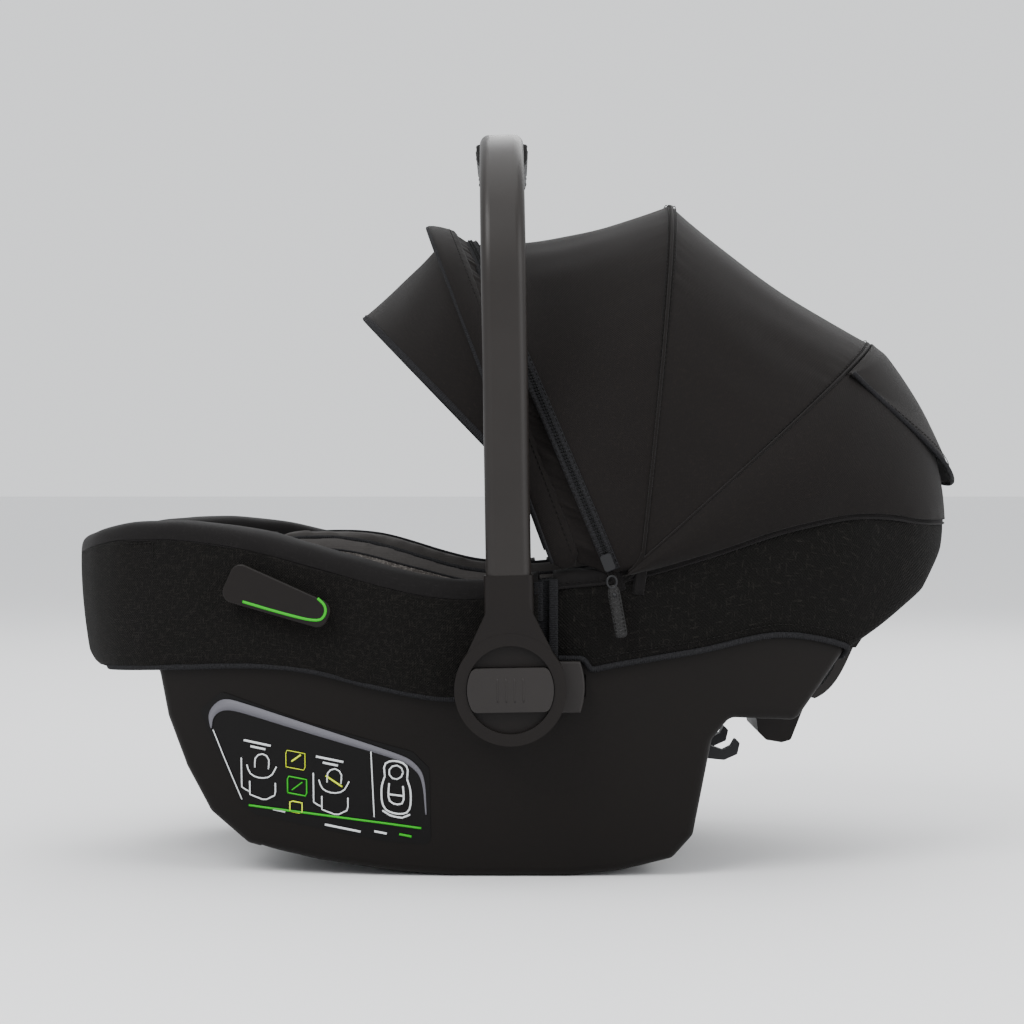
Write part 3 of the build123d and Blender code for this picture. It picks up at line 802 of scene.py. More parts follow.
# ---- The forms that the cloth follows -----------------------------------------------------
@dataclass(frozen=True)
class ShellForm:
    """The shell's outside: a squarish oval in plan that narrows downward, cut to a side outline."""

    middle: float = 30.0
    foot_reach: float = 362.5
    head_reach: float = 297.0
    half: float = 186.0
    foot_power: float = 3.0
    head_power: float = 2.6
    foot_end: tuple = ((90, -247), (115, -257), (146, -264), (149, -314), (160, -325), (300, -360))
    head_end: tuple = ((100, 140), (113, 202), (166, 240), (180, 262), (206, 300), (236, 322), (300, 350))
    rim: tuple = ((-352, 228), (-338, 236), (-310, 247), (-260, 252), (-200, 246), (-133, 229), (-75, 214),
                  (-42, 210), (-10, 212), (26, 218), (72, 223), (129, 238), (200, 260), (250, 268),
                  (290, 264), (327, 252), (345, 243))
    piping: tuple = ((-352, 147), (-300, 149), (-262, 151), (-155, 151), (-98, 138), (-55, 131), (-5, 136),
                     (50, 151), (130, 165), (195, 176), (235, 169), (262, 160), (345, 160))

    def inset(self, z: Points) -> Points:
        """How far the plan outline has narrowed at height z."""
        v = (z + 12) / 342
        return 28 * (v - 0.386) * (v - 1) / 0.386 + 8 * v * (v - 1) / (0.386 * -0.614)

    def point(self, turn: Points, z: Points, out: Points) -> Points:
        """A point out millimetres off the shell's side.

        Args:
            turn: where round the oval, in radians, with 0 at the head end and pi/2 at +Y.
            z: its height.
            out: how far it stands off the shell.
        Returns:
            Points, with X, Y, Z last.
        """
        turn, z, out = np.broadcast_arrays(np.asarray(turn, float), np.asarray(z, float),
            np.asarray(out, float))
        cos, sin = np.cos(turn), np.sin(turn)
        head = cos > 0
        power = np.where(head, self.head_power, self.foot_power)
        reach = np.where(head, self.head_reach, self.foot_reach) - self.inset(z) + out
        x = self.middle + np.sign(cos) * reach * np.abs(cos) ** (2 / power)
        y = (self.half - self.inset(z) + out) * np.sign(sin) * np.abs(sin) ** (2 / power)
        low = np.interp(z, *np.array(self.foot_end, float).T) - out
        high = np.interp(z, *np.array(self.head_end, float).T) + out
        x = soft_min(x, high, 7.0)
        x = -soft_min(-x, -low, 7.0)
        return np.stack([x, y, z], -1)

    def side(self, x: Points, z: Points, out: float, hand: Side) -> Points:
        """The point of one side at (x, z), out millimetres off the shell.

        Args:
            x: how far along the seat.
            z: the height.
            out: how far off the shell.
            hand: which side.
        Returns:
            The points, as (x, y, z).
        """
        x, z = np.broadcast_arrays(np.asarray(x, float), np.asarray(z, float))
        head = x > self.middle
        power = np.where(head, self.head_power, self.foot_power)
        reach = np.where(head, self.head_reach, self.foot_reach) - self.inset(z) + out
        share = np.clip(np.abs(x - self.middle) / reach, 0, 0.9999)
        y = hand.value * (self.half - self.inset(z) + out) * (1 - share ** power) ** (1 / power)
        return np.stack([x, y, z], -1)

    def turns(self, start: float, to_head: bool, count: int) -> Points:
        """Even steps round one end of the oval, from the left side's X = start to the right side's.

        Args:
            start: the X at which they begin and end.
            to_head: whether they go round the head end.
            count: how many.
        Returns:
            Turn values, in radians.
        """
        half = np.linspace(0, math.pi, 6001) ** 1.0
        turn = (half if to_head else math.pi - half)
        x = self.point(turn, 200.0, 0.0)[:, 0]
        inside = turn[(x >= start) if to_head else (x <= start)]
        quarter = self.point(inside, 200.0, 0.0)
        run = along(quarter)
        even = np.interp(np.linspace(0, run[-1], (count + 1) // 2), run, inside)
        return (np.concatenate([-even[::-1], even[1:]]) if to_head
                else np.concatenate([2 * math.pi - even[::-1], even[1:]]))


@dataclass(frozen=True)
class Arch:
    """One squarish arch of the canopy, in a plane across the seat."""

    x: float
    z: float
    angle: float
    half: float
    high: float
    foot: float = 16.0
    power: float = 2.4

    def smaller(self, lower: float) -> "Arch":
        """The same arch drawn in by lower."""
        return Arch(self.x, self.z, self.angle, self.half - lower, self.high - lower, self.foot)

    def turned(self, shift: float) -> "Arch":
        """The same arch turned so that its top moves on by shift millimetres."""
        return Arch(self.x, self.z, self.angle + math.degrees(shift / self.high), self.half, self.high,
            self.foot)

    def at(self, share: Points, start: float = 0.0, tuck: float = 0.0) -> Points:
        """Points at even steps along the arch.

        Args:
            share: from 0 at the left foot to 1 at the right foot.
            start: how high above its axis the feet end.
            tuck: how far the feet draw in.
        Returns:
            Points, with X, Y, Z last.
        """
        turn = np.linspace(0, math.pi / 2, 900) ** 1.0
        aside = self.half * np.cos(turn) ** (2 / self.power)
        up = self.high * np.sin(turn) ** (2 / self.power)
        aside = aside - tuck * np.clip(1 - up / 55, 0, 1) ** 1.6
        use = up >= start
        flat = np.stack([aside[use], up[use]], -1)
        flat = np.concatenate([[(np.interp(start, up, aside), start)], flat])
        run = along(flat)
        share = np.asarray(share, float)
        near = np.minimum(share, 1 - share) * 2 * run[-1]
        side = np.where(share < 0.5, -1.0, 1.0) * np.interp(near, run, flat[:, 0])
        rise = np.interp(near, run, flat[:, 1])
        a = math.radians(self.angle)
        return np.stack([self.x + rise * math.cos(a), side, self.z + rise * math.sin(a)], -1)


PIVOT = (65.0, 209.5)
SHELL = ShellForm()


def fan_weight(points: Points, axis: tuple, still: float, moving: float) -> Points:
    """How far round an axis each point lies between two angles, from 0 at still to 1 at moving.

    Args:
        points: positions, in millimetres.
        axis: the axis's (x, z).
        still: the angle, in degrees above +X, that stays.
        moving: the angle that moves with the second body.
    Returns:
        One weight for each point.
    """
    angle = np.degrees(np.arctan2(points[:, 2] - axis[1], points[:, 0] - axis[0]))
    return np.clip((angle - still) / (moving - still), 0, 1)


def blend_fan(piece: Piece, bodies: tuple, weight: Points) -> None:
    """Bakes the cloth's placement into its points and logs the two bodies that it lies between.

    Args:
        piece: the cloth, in its final shape.
        bodies: the still and the moving body.
        weight: not used.
    """
    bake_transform(piece)
    LOG.info("%s opens between %s and %s", piece.name, *bodies)


def points_of(piece: Piece) -> Points:
    """A mesh's points, in millimetres."""
    co = np.zeros(len(piece.data.vertices) * 3)
    piece.data.vertices.foreach_get("co", co)
    return co.reshape(-1, 3) / MM


def set_points(piece: Piece, points: Points) -> None:
    """Moves a mesh's points, given in millimetres."""
    piece.data.vertices.foreach_set("co", (points * MM).ravel())
    piece.data.update()


def normals_of(piece: Piece) -> Points:
    """A mesh's normals at its points."""
    out = np.zeros(len(piece.data.vertices) * 3)
    piece.data.vertex_normals.foreach_get("vector", out)
    return out.reshape(-1, 3)


# ---- The outer cover ----------------------------------------------------------------------
@dataclass
class OuterCover:
    """The fitted cover over the shell's rim: a foot part in melange weave and a head skirt in canvas."""

    stand: float = 4.0
    border: float = 8.0
    hub: tuple = (-5.5, 140.0)
    hub_clear: float = 37.0
    roll: tuple = ((4.2, -7.6), (4.1, -5), (3.4, -1), (1.6, 2.0), (-2, 3.8), (-8, 4.6), (-16, 4.4), (-23, 3.4),
                   (-27, 0.5), (-29, -6), (-29.5, -14))

    def bottom(self, x: Points) -> Points:
        """The height of the cover's lower edge."""
        return np.maximum(smooth_height(SHELL.piping, x), np.where(x > 20, 160 - 12 * ease((x - 46) / 10), 0))

    def grid(self, turns: Points, rows: int, seed: int) -> Points:
        """The cover's side, from its lower edge to the border seam, with the drape of fitted cloth.

        Args:
            turns: where the columns stand on the oval.
            rows: how many rows it has.
            seed: picks one drape.
        Returns:
            The points, row by row.
        """
        x = SHELL.point(turns, 200.0, self.stand)[:, 0]
        top = smooth_height(SHELL.rim, x) - self.border
        low = self.bottom(x)
        s = np.linspace(0, 1, rows)[:, None]
        z = low + (top - low) * s
        puff = 0.9 * np.sin(math.pi * s) ** 0.6 - 2.2 * (1 - ease(s / 0.05)) + 0 * z
        flat = SHELL.point(turns[None], z, self.stand)
        fold = ripple(flat, 34, seed, (1, 1, 2.4)) * 0.7 + ripple(flat, 90, seed + 1, (1, 1, 1.5)) * 0.9
        pucker = ripple(flat, 7, seed + 2, (1, 1, 6)) * 0.35 * (np.exp(-s / 0.05) + np.exp(-(1 - s) / 0.05))
        return SHELL.point(turns[None], z, self.stand + puff + np.clip(fold, -1.2, 1.6) + pucker)

    def rolled(self, turns: Points, seed: int) -> Points:
        """The smooth border, from its seam over the rim to the inside.

        Args:
            turns: where the columns stand on the oval.
            seed: picks one drape.
        Returns:
            The points, row by row.
        """
        x = SHELL.point(turns, 200.0, self.stand)[:, 0]
        rim = smooth_height(SHELL.rim, x)
        path = rounded_path(np.array(self.roll), 2)
        flat = SHELL.point(turns[None], rim[None] + path[:, 1:], path[:, :1])
        soft = ripple(flat, 26, seed) * 0.5 * ease(np.linspace(0, 1, len(path)) * 6)[:, None]
        return SHELL.point(turns[None], rim[None] + path[:, 1:] + soft, path[:, :1] + soft * 0.6)

    def edge_path(self, turns: Points, lift: float, out: float, top: bool = False) -> Points:
        """A line along the cover's lower edge or its border seam."""
        x = SHELL.point(turns, 200.0, self.stand)[:, 0]
        z = (smooth_height(SHELL.rim, x) - self.border if top else self.bottom(x)) + lift
        return SHELL.point(turns, z, self.stand + out)

    def clear_of_hub(self, grid: Points) -> Points:
        """For each quad, whether it lies outside the hub's recess."""
        mid = (grid[:-1, :-1] + grid[1:, 1:]) / 2
        return np.hypot(mid[..., 0] - self.hub[0], mid[..., 2] - self.hub[1]) > self.hub_clear

    def side_out(self, path: Points) -> Points:
        """The outward direction at points of the cover.

        Args:
            path: points of the cover.
        Returns:
            One direction for each point.
        """
        out = path - np.array([SHELL.middle, 0, 0])
        out[:, 0] = np.sign(out[:, 0]) * np.abs(out[:, 0] / 330) ** 3
        out[:, 1] = np.sign(out[:, 1]) * np.abs(out[:, 1] / 190) ** 2
        out[:, 2] = 0.12
        return out / np.linalg.norm(out, axis=1, keepdims=True)

    def build(self) -> None:
        """Builds both parts of the cover with their seams, piping and stitches."""
        for name, start, to_head, count, finish, node, seed in (
                ("foot_cover_cloth", 15.0, False, 281, Finishes.melange, "foot_cover", 3),
                ("head_skirt_cloth", 25.0, True, 241, Finishes.canvas, "head_skirt", 9)):
            turns = SHELL.turns(start, to_head, count)
            grid = self.grid(turns, 38, seed)
            if to_head:
                grid[:, :3, 1] += 1.2
                grid[:, -3:, 1] -= 1.2
            cloth = thicken(dress(loft(name, grid, keep=self.clear_of_hub(grid)), finish), 1.6)
            settle(cloth, "seat", (node,))
            border = thicken(dress(loft(f"{name}_border", self.rolled(turns, seed + 5)), Finishes.border), 1.6)
            settle(border, "seat")
            self.trim(name, turns, to_head)
        self.patch()
        self.recess()

    def trim(self, name: str, turns: Points, to_head: bool) -> None:
        """Piping round the lower edge, the border's seam and the stitches beside both.

        Args:
            name: the cover part's name.
            turns: where it runs on the oval.
            to_head: whether it is the head end's part.
        """
        low = self.edge_path(turns, 0.0, -0.6)
        far = np.hypot(low[:, 0] - self.hub[0], low[:, 2] - self.hub[1]) > self.hub_clear + 1
        low = resample(low[far], 420)
        piping = dress(sweep(f"{name}_piping", low, self.side_out(low), round_profile(2.3)), Finishes.binding)
        settle(piping, "seat")
        hem = self.edge_path(turns, 7.5, 0.9)
        hem = hem[np.hypot(hem[:, 0] - self.hub[0], hem[:, 2] - self.hub[1]) > self.hub_clear + 2]
        seam = self.edge_path(turns, 0.0, 0.6, top=True)
        seam_cord = sweep(f"{name}_seam", resample(seam, 420), self.side_out(resample(seam, 420)),
            round_profile(0.9, 8))
        settle(dress(seam_cord, Finishes.border), "seat")
        rows = [stitches("s", hem, self.side_out(hem)),
                stitches("s", self.edge_path(turns, 3.2, 0.9, top=True), self.side_out(seam))]
        settle(dress(join(f"{name}_stitches", rows), Finishes.thread), "seat")
        for hand in (turns[0], turns[-1]):
            x = SHELL.point(hand, 200.0, 0.0)[0]
            top = float(smooth_height(SHELL.rim, np.array([x]))[0]) - self.border
            z = np.linspace(float(self.bottom(np.array([x]))[0]) + (0 if to_head else 46), top + 7, 40)
            edge = SHELL.point(np.full(40, hand), z, self.stand + (1.0 if to_head else 0.3))
            out = np.tile([0, math.copysign(1, edge[0, 1]), 0.0], (40, 1))
            tape = dress(sweep(f"{name}_edge_{'left' if edge[0, 1] < 0 else 'right'}", edge, out,
                flat_profile(7, 2.4)), Finishes.binding)
            settle(tape, "seat")

    def patch(self) -> None:
        """The stitched reinforcing patch at the foot end of each side."""
        for hand in Side:
            corners = np.array([(-300, 216), (-266, 218), (-266, 242), (-300, 240), (-300, 216)], float)
            flat = np.concatenate([np.linspace(a, b, 14)[:-1] for a, b in zip(corners[:-1], corners[1:])])
            line = SHELL.side(flat[:, 0], flat[:, 1], self.stand + 1.6, hand)
            rows = stitches(f"patch_stitches_{hand.word}", line, np.array([-0.35, hand.value, 0.0]))
            settle(dress(rows, Finishes.thread), "seat")

    def recess(self) -> None:
        """The strip of pad fabric that shows between the two parts beside the handle, dressed in the binding's
        near-black as painted shade of the recess.
        """
        for hand in Side:
            x = np.linspace(10, 32, 9)
            s = np.linspace(0, 1, 24)[:, None]
            z = 172 + (smooth_height(SHELL.rim, x)[None] - 172) * s
            grid = SHELL.side(np.broadcast_to(x, z.shape), z, 1.2, hand)
            # Painted shade: the binding's near-black darkens this recessed strip beyond its pad fabric.
            strip = thicken(dress(loft(f"recess_strip_{hand.word}", grid[:, ::hand.value]), Finishes.binding), 1.0)
            settle(strip, "seat")


# ---- The canopy ---------------------------------------------------------------------------
@dataclass
class Canopy:
    """The folding canopy: three bows and the cloth between them, brim, visor, zip and rear vent."""

    rear: Arch = Arch(65.0, 209.5, 41.6, 196.4, 278.4, 16.0)
    mid: Arch = Arch(85.0, 200.0, 83.65, 196.4, 303.9, 26.0)
    front: Arch = Arch(76.0, 203.0, 112.8, 196.4, 292.7, 20.0)
    tuck: float = 7.0
    columns: int = 241

    def share(self) -> Points:
        """Even steps along an arch."""
        return np.linspace(0, 1, self.columns)

    def panel_grid(self, first: Arch, last: Arch, rows: int, sag: float, seed: int) -> Points:
        """Cloth held by two arches, sagging between them, with folds that run from bow to bow.

        Args:
            first, last: the arches.
            rows: rows between them.
            sag: how deep it hangs in at the top, in millimetres.
            seed: picks its folds.
        Returns:
            The grid of points.
        """
        u = self.share()
        a, b = first.at(u, first.foot, self.tuck), last.at(u, last.foot, self.tuck)
        v = np.linspace(0, 1, rows)[:, None, None]
        flat = a * (1 - v) + b * v
        centre = np.array([PIVOT[0], 0, PIVOT[1]])
        rise = np.clip(np.linalg.norm(flat[..., [0, 2]] - centre[[0, 2]], axis=-1) / 290, 0, 1)
        inward = centre + (0, 0, 40) - flat
        inward /= np.linalg.norm(inward, axis=-1, keepdims=True)
        bow = 4 * v[..., 0] * (1 - v[..., 0])
        arch_u = np.abs(2 * u - 1)[None]
        depth = sag * bow * (0.35 + 0.65 * (1 - arch_u ** 2)) * ease(rise * 1.6)
        held = np.sin(math.pi * v[..., 0]) ** 0.8
        folds = (ripple(np.stack([u[None] * 800 + 0 * v[..., 0], v[..., 0] * 60 + 0 * u[None], 0 * rise], -1),
            26, seed, (1, 3.0, 1)) * 0.8)
        slack = ripple(flat, 60, seed + 1) * 1.1
        edge = ripple(np.stack([u[None] * 800 + 0 * v[..., 0], 0 * rise, 0 * rise], -1), 5.5, seed + 2) * 0.5
        near = (np.exp(-v[..., 0] / 0.07) * (1 - np.exp(-v[..., 0] / 0.012))
                + np.exp(-(1 - v[..., 0]) / 0.07) * (1 - np.exp(-(1 - v[..., 0]) / 0.012)))
        depth = depth + (folds + slack) * held * (0.3 + 0.7 * rise) + edge * near
        return flat + inward * depth[..., None]

    def build(self) -> None:
        """Builds the whole canopy."""
        self.bows()
        self.panels()
        self.hem_panel()
        self.brim()
        self.visor()
        self.zip()
        self.puller()
        self.vent_flap()

    def panels(self) -> None:
        """The two panels that open and close, and the bound seams over their bows."""
        rear, mid, front = self.rear, self.mid, self.front.turned(3.6)
        for name, first, last, sag, bodies, node, seed, rows in (
                ("canopy_rear_cloth", rear, mid, 6.0, ("seat", "canopy_middle"), "canopy_rear_panel", 21, 44),
                ("canopy_front_cloth", mid, front, 8.0, ("canopy_middle", "canopy_front"), "canopy_front_panel",
                    31, 40)):
            grid = self.panel_grid(first, last, rows, sag, seed)
            cloth = thicken(dress(loft(name, grid), Finishes.canopy), 1.2)
            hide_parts(node)
            blend_fan(cloth, bodies, np.repeat(np.linspace(0, 1, rows), self.columns))
        for name, arch, body in (("mid_seam", mid, "canopy_middle"), ("rear_seam", rear, "seat")):
            path = arch.at(np.linspace(0, 1, 300), arch.foot + 3, self.tuck)
            out = path - np.array([PIVOT[0], 0, PIVOT[1]])
            seam = dress(sweep(f"canopy_{name}", path, out, flat_profile(2.6, 1.3)), Finishes.canopy)
            settle(seam, body)
            rows_of = []
            for shift in (-3.2, 3.2):
                line = arch.turned(shift).at(np.linspace(0.03, 0.97, 260), arch.foot, self.tuck)
                rows_of.append(stitches("s", line, line - np.array([PIVOT[0], 0, PIVOT[1]]), radius=0.34))
            settle(dress(join(f"canopy_{name}_stitches", rows_of), Finishes.thread), body)

    def bows(self) -> None:
        """The sleeves that hold the spring bows, inside the cloth."""
        for arch, body, node in ((self.rear, "seat", "canopy_rear_bow"),
                                 (self.mid, "canopy_middle", "canopy_mid_bow"),
                                 (self.front, "canopy_front", "canopy_front_bow")):
            path = arch.smaller(3.4).at(np.linspace(0, 1, 200), 6, self.tuck)
            out = path - np.array([PIVOT[0], 0, PIVOT[1]])
            sleeve = dress(sweep(node.replace("_bow", "_sleeve"), path, out, flat_profile(9, 3.6)),
                Finishes.border)
            settle(sleeve, body, (node,))
        rivets = [sweep("r", np.array([(PIVOT[0], h * y, PIVOT[1]) for y in (181.0, 182.0, 186.5, 187.0)]),
                        np.array([0, 0, 1.0]),
                        round_profile(7, 20)) for h in (-1, 1)]
        settle(dress(join("canopy_rivets", rivets), Finishes.steel), "seat", ("canopy_pins",))

    def hem_grid(self, columns: Points, rows: int) -> Points:
        """The fixed rear panel, from the rim up to the rear bow.

        Args:
            columns: the steps along the bow, from 0 to 1.
            rows: how many rows it has.
        Returns:
            The points, row by row.
        """
        top = self.rear.at(columns, self.rear.foot, self.tuck)
        turns = SHELL.turns(73.0, True, 401)
        x = SHELL.point(turns, 200.0, 4.0)[:, 0]
        rim = SHELL.point(turns, smooth_height(SHELL.rim, x) - 5.0, 5.4)
        run = along(rim)
        low = np.stack([np.interp(columns * run[-1], run, rim[:, k]) for k in range(3)], -1)
        v = np.linspace(0, 1, rows)[:, None, None]
        flat = low * (1 - v) + top * v
        lean = np.clip(1 - np.abs(2 * columns - 1) ** 2.2, 0, 1)[None, :, None]
        out = flat - np.array([PIVOT[0], 0, PIVOT[1] + 30])
        out /= np.linalg.norm(out, axis=-1, keepdims=True)
        bulge = 4 * v * (1 - v) * (5 + 9 * lean)
        soft = (ripple(flat, 45, 41)[..., None] * 1.1 * np.sin(math.pi * v)
                + ripple(flat, 9, 42, (1, 1, 3))[..., None] * 0.45 * np.exp(-v / 0.1))
        return flat + out * (bulge + soft)

    def window_edge(self, y: Points, grow: float) -> Points:
        """The angle of the vent's lower edge at each y, for a window grown by grow.

        Args:
            y: how far off the middle plane.
            grow: how much larger the window is.
        Returns:
            The angle at each y, in degrees.
        """
        radius = 126.0 + grow
        top = 282 * math.sin(math.radians(self.rear.angle - 28)) - 2
        arch = 283 * (1 - (np.abs(y) / 200) ** 2.4) ** (1 / 2.4)
        drop = top - np.sqrt(np.clip(radius ** 2 - y ** 2, 0, None))
        return 28 + np.degrees(np.arcsin(np.clip(drop / arch, -0.9, 0.9)))

    def hem_panel(self) -> None:
        """The rear panel with its mesh window."""
        columns, rows = self.share(), 60
        grid = self.hem_grid(columns, rows)
        mid = (grid[:-1, :-1] + grid[1:, 1:]) / 2
        angle = np.degrees(np.arctan2(mid[..., 2] - PIVOT[1], mid[..., 0] - PIVOT[0]))
        inside = ((np.abs(mid[..., 1]) < 100) & (angle < self.rear.angle - 3.4)
            & (angle > self.window_edge(mid[..., 1], -24)))
        panel = thicken(dress(loft("canopy_hem_cloth", grid, keep=~inside), Finishes.canopy),
            1.2)
        settle(panel, "seat", ("canopy_hem_panel",))
        mesh = thicken(dress(loft("vent_mesh_cloth", grid, keep=inside), Finishes.net), 0.9)
        settle(mesh, "seat", ("vent_mesh",))
        y = np.concatenate([np.linspace(-96, 96, 80), np.linspace(96, -96, 60)[1:]])
        low = self.window_edge(y[:80], -24)
        angles = np.concatenate([low, np.full(59, self.rear.angle - 3.4)])
        ring = rounded_path(np.stack([y, angles], -1), 1)
        path = resample(self.on_hem(grid, ring[:, 0], ring[:, 1]), 300)
        tape = dress(sweep("vent_window_tape", path, path - np.array([PIVOT[0], 0, PIVOT[1]]),
            flat_profile(8, 1.6), closed=True), Finishes.binding)
        settle(tape, "seat")

    def on_hem(self, grid: Points, y: Points, angle: Points) -> Points:
        """Points of the rear panel's grid nearest to each (y, angle).

        Args:
            grid: the rear panel's points.
            y: how far off the middle plane.
            angle: the angle about the canopy's pivot, in degrees.
        Returns:
            The points found.
        """
        flat = grid.reshape(-1, 3)
        theirs = np.degrees(np.arctan2(flat[:, 2] - PIVOT[1], flat[:, 0] - PIVOT[0]))
        found = []
        for yy, aa in zip(y, angle):
            gap = (flat[:, 1] - yy) ** 2 + ((theirs - aa) * 4.8) ** 2
            near = np.argsort(gap)[:4]
            weight = 1 / (gap[near] + 0.05)
            found.append((flat[near] * weight[:, None]).sum(0) / weight.sum())
        return np.array(found)

    def brim(self) -> None:
        """The padded brim: a soft band in front of the front bow, gathered where the panel meets it."""
        arch = Arch(29.5, 243.0, 110.3, 194.0, 263.5)
        a = math.radians(110.3)
        rise_way, back_way = np.array([math.cos(a), 0, math.sin(a)]), np.array([math.sin(a), 0, -math.cos(a)])
        outer = arch.at(np.linspace(0, 1, 252), 0.0)
        legs = np.linspace(19, 1, 9)[:, None]
        inward = np.array([0, 1.0, 0]) * (legs / 19) ** 1.5 * 5.5
        outer = np.concatenate([outer[0] - rise_way * legs + inward, outer,
            (outer[-1] - rise_way * legs - inward)[::-1]])
        u = np.linspace(0, 1, len(outer))
        ahead = np.gradient(outer, axis=0)
        ahead /= np.linalg.norm(ahead, axis=1, keepdims=True)
        out = np.cross(back_way, ahead)
        out *= np.sign((out * (outer - np.array([34.0, 0, 300.0]))).sum(1, keepdims=True))
        top = (1 - np.abs(2 * u - 1) ** 2.0)[:, None]
        deep = 8.6 + 15.5 * ease(top * 1.15)
        end = ease(np.minimum(u, 1 - u) / 0.012)[:, None]
        section = [(-9.6, -0.25), (-9.9, -0.08), (-8.6, -0.01), (-5, 0.03), (0, 0.045), (5, 0.03), (8.6, -0.02),
                   (9.8, -0.12),
                   (9.6, -0.5), (9.0, -0.85), (7, -0.97), (3, -1.0), (-3, -1.0), (-7.6, -0.97), (-9.2, -0.8),
                   (-9.5, -0.5)]
        w = np.array([p[0] for p in section])[None]
        h = np.array([p[1] for p in section])[None]
        gather = ripple(np.stack([u * 760, 0 * u, 0 * u], -1), 5.0, 51)[:, None] * 0.9 * (w > 5) * (h > -0.6)
        soft = ripple(np.stack([u * 760, 0 * u, 0 * u], -1), 30, 52)[:, None] * 0.5
        side = w * (0.55 + 0.45 * end)
        fall = 0.62 * ease(top * 1.4) * (w + 9.9) * (h > -0.6)
        grid = (outer[:, None] + back_way * side[..., None]
                + out[:, None] * (h * deep * (0.6 + 0.4 * end) - fall + gather + soft * (h > -0.5))[..., None])
        self.lip(outer + back_way * 7.0 - out * (1.5 + 0.62 * ease(top * 1.4) * 16.9))
        brim = dress(loft("canopy_brim_pad", grid, around=True, caps=True), Finishes.canopy)
        settle(brim, "canopy_front", ("canopy_brim",))
        edge = outer + back_way * -9.9 + out * (-0.1 * deep)
        piping = dress(sweep("brim_piping", edge[3:-3], out[3:-3], round_profile(1.5, 8)), Finishes.binding)
        settle(piping, "canopy_front")
        line = outer + back_way * 5.6 + out * (0.75 - 9.6 * ease(top * 1.4))
        settle(dress(stitches("brim_stitches", line[4:-4], out[4:-4], radius=0.36), Finishes.thread), "canopy_front")

    def lip(self, brim_edge: Points) -> None:
        """The gathered strip of cloth from the front bow down into the brim.

        Args:
            brim_edge: the points that it is sewn to on the brim.
        """
        u = np.linspace(0, 1, 401)
        bow = self.front.smaller(0.6).at(u, 16.0, self.tuck)
        edge = resample(brim_edge, 401)
        v = np.linspace(0, 1, 16)[:, None, None]
        flat = bow * (1 - v) + edge * v
        pleat = (ripple(np.stack([u * 800, 0 * u, 0 * u], -1), 6.0, 57)[None] * 1.6
            + ripple(np.stack([u * 800, 0 * u, 0 * u], -1), 15.0, 58)[None] * 1.2)
        out = flat - np.array([40.0, 0, 300.0])
        out /= np.linalg.norm(out, axis=-1, keepdims=True)
        grid = flat + out * (np.sin(math.pi * v[..., 0]) * (pleat - 0.8))[..., None]
        cloth = thicken(dress(loft("canopy_lip", grid), Finishes.canopy), 1.0)
        settle(cloth, "canopy_front")

    def visor(self) -> None:
        """The flip-out visor: a sheet from its wire to the brim's underside."""
        u = np.linspace(0, 1, 201)
        wire_arch, back_arch = Arch(10.0, 281.0, 134.0, 181.0, 185.0), Arch(10.0, 281.0, 109.6, 181.5, 203.0)
        a, b = wire_arch.at(u, 4.0), back_arch.at(u, 6.0)
        v = np.linspace(0, 1, 26)[:, None, None]
        flat = a * (1 - v) + b * v
        inward = np.array([30.0, 0, 281.0]) - flat
        inward /= np.linalg.norm(inward, axis=-1, keepdims=True)
        lean = (1 - np.abs(2 * u - 1) ** 2)[None, :, None]
        soft = ripple(flat, 40, 61)[..., None] * 0.9 * np.sin(math.pi * v)
        grid = flat + inward * (4 * v * (1 - v) * 1.5 * lean + soft)
        cloth = thicken(dress(loft("visor_cloth", grid), Finishes.canopy), 1.4)
        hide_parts("visor_sheet")
        blend_fan(cloth, ("canopy_front", "visor"), fan_weight(points_of(cloth), (10.0, 281.0), 110.5, 133.0))
        path = wire_arch.at(np.linspace(0, 1, 240), 3.0)
        edge = dress(sweep("visor_edge_tape", path, path - np.array([10.0, 0, 281.0]), flat_profile(5.5, 3.4)),
            Finishes.binding)
        settle(edge, "visor", ("visor_wire",))

    def zip(self) -> None:
        """The zip along the front bow: its tape, teeth and stitches."""
        path = self.front.at(np.linspace(0, 1, 520), 22.0, self.tuck)
        out = path - np.array([PIVOT[0], 0, PIVOT[1]])
        out[:, 0] *= 0.2
        tape = dress(sweep("zip_tape", path, out, flat_profile(11, 1.2, 0.8)), Finishes.binding)
        settle(tape, "canopy_front", ("canopy_zip",))
        side, up = frames_on(path, out)
        teeth = [stitches("t", path + side * s + up * 1.7, up, step=2.6, length=1.7, radius=0.75)
            for s in (-0.9, 0.9)]
        settle(dress(join("zip_teeth", teeth), Finishes.inner), "canopy_front")
        rows = [stitches("s", path + side * s + up * 1.6, up, radius=0.32) for s in (-4.5, 4.5)]
        settle(dress(join("zip_stitches", rows), Finishes.thread), "canopy_front")

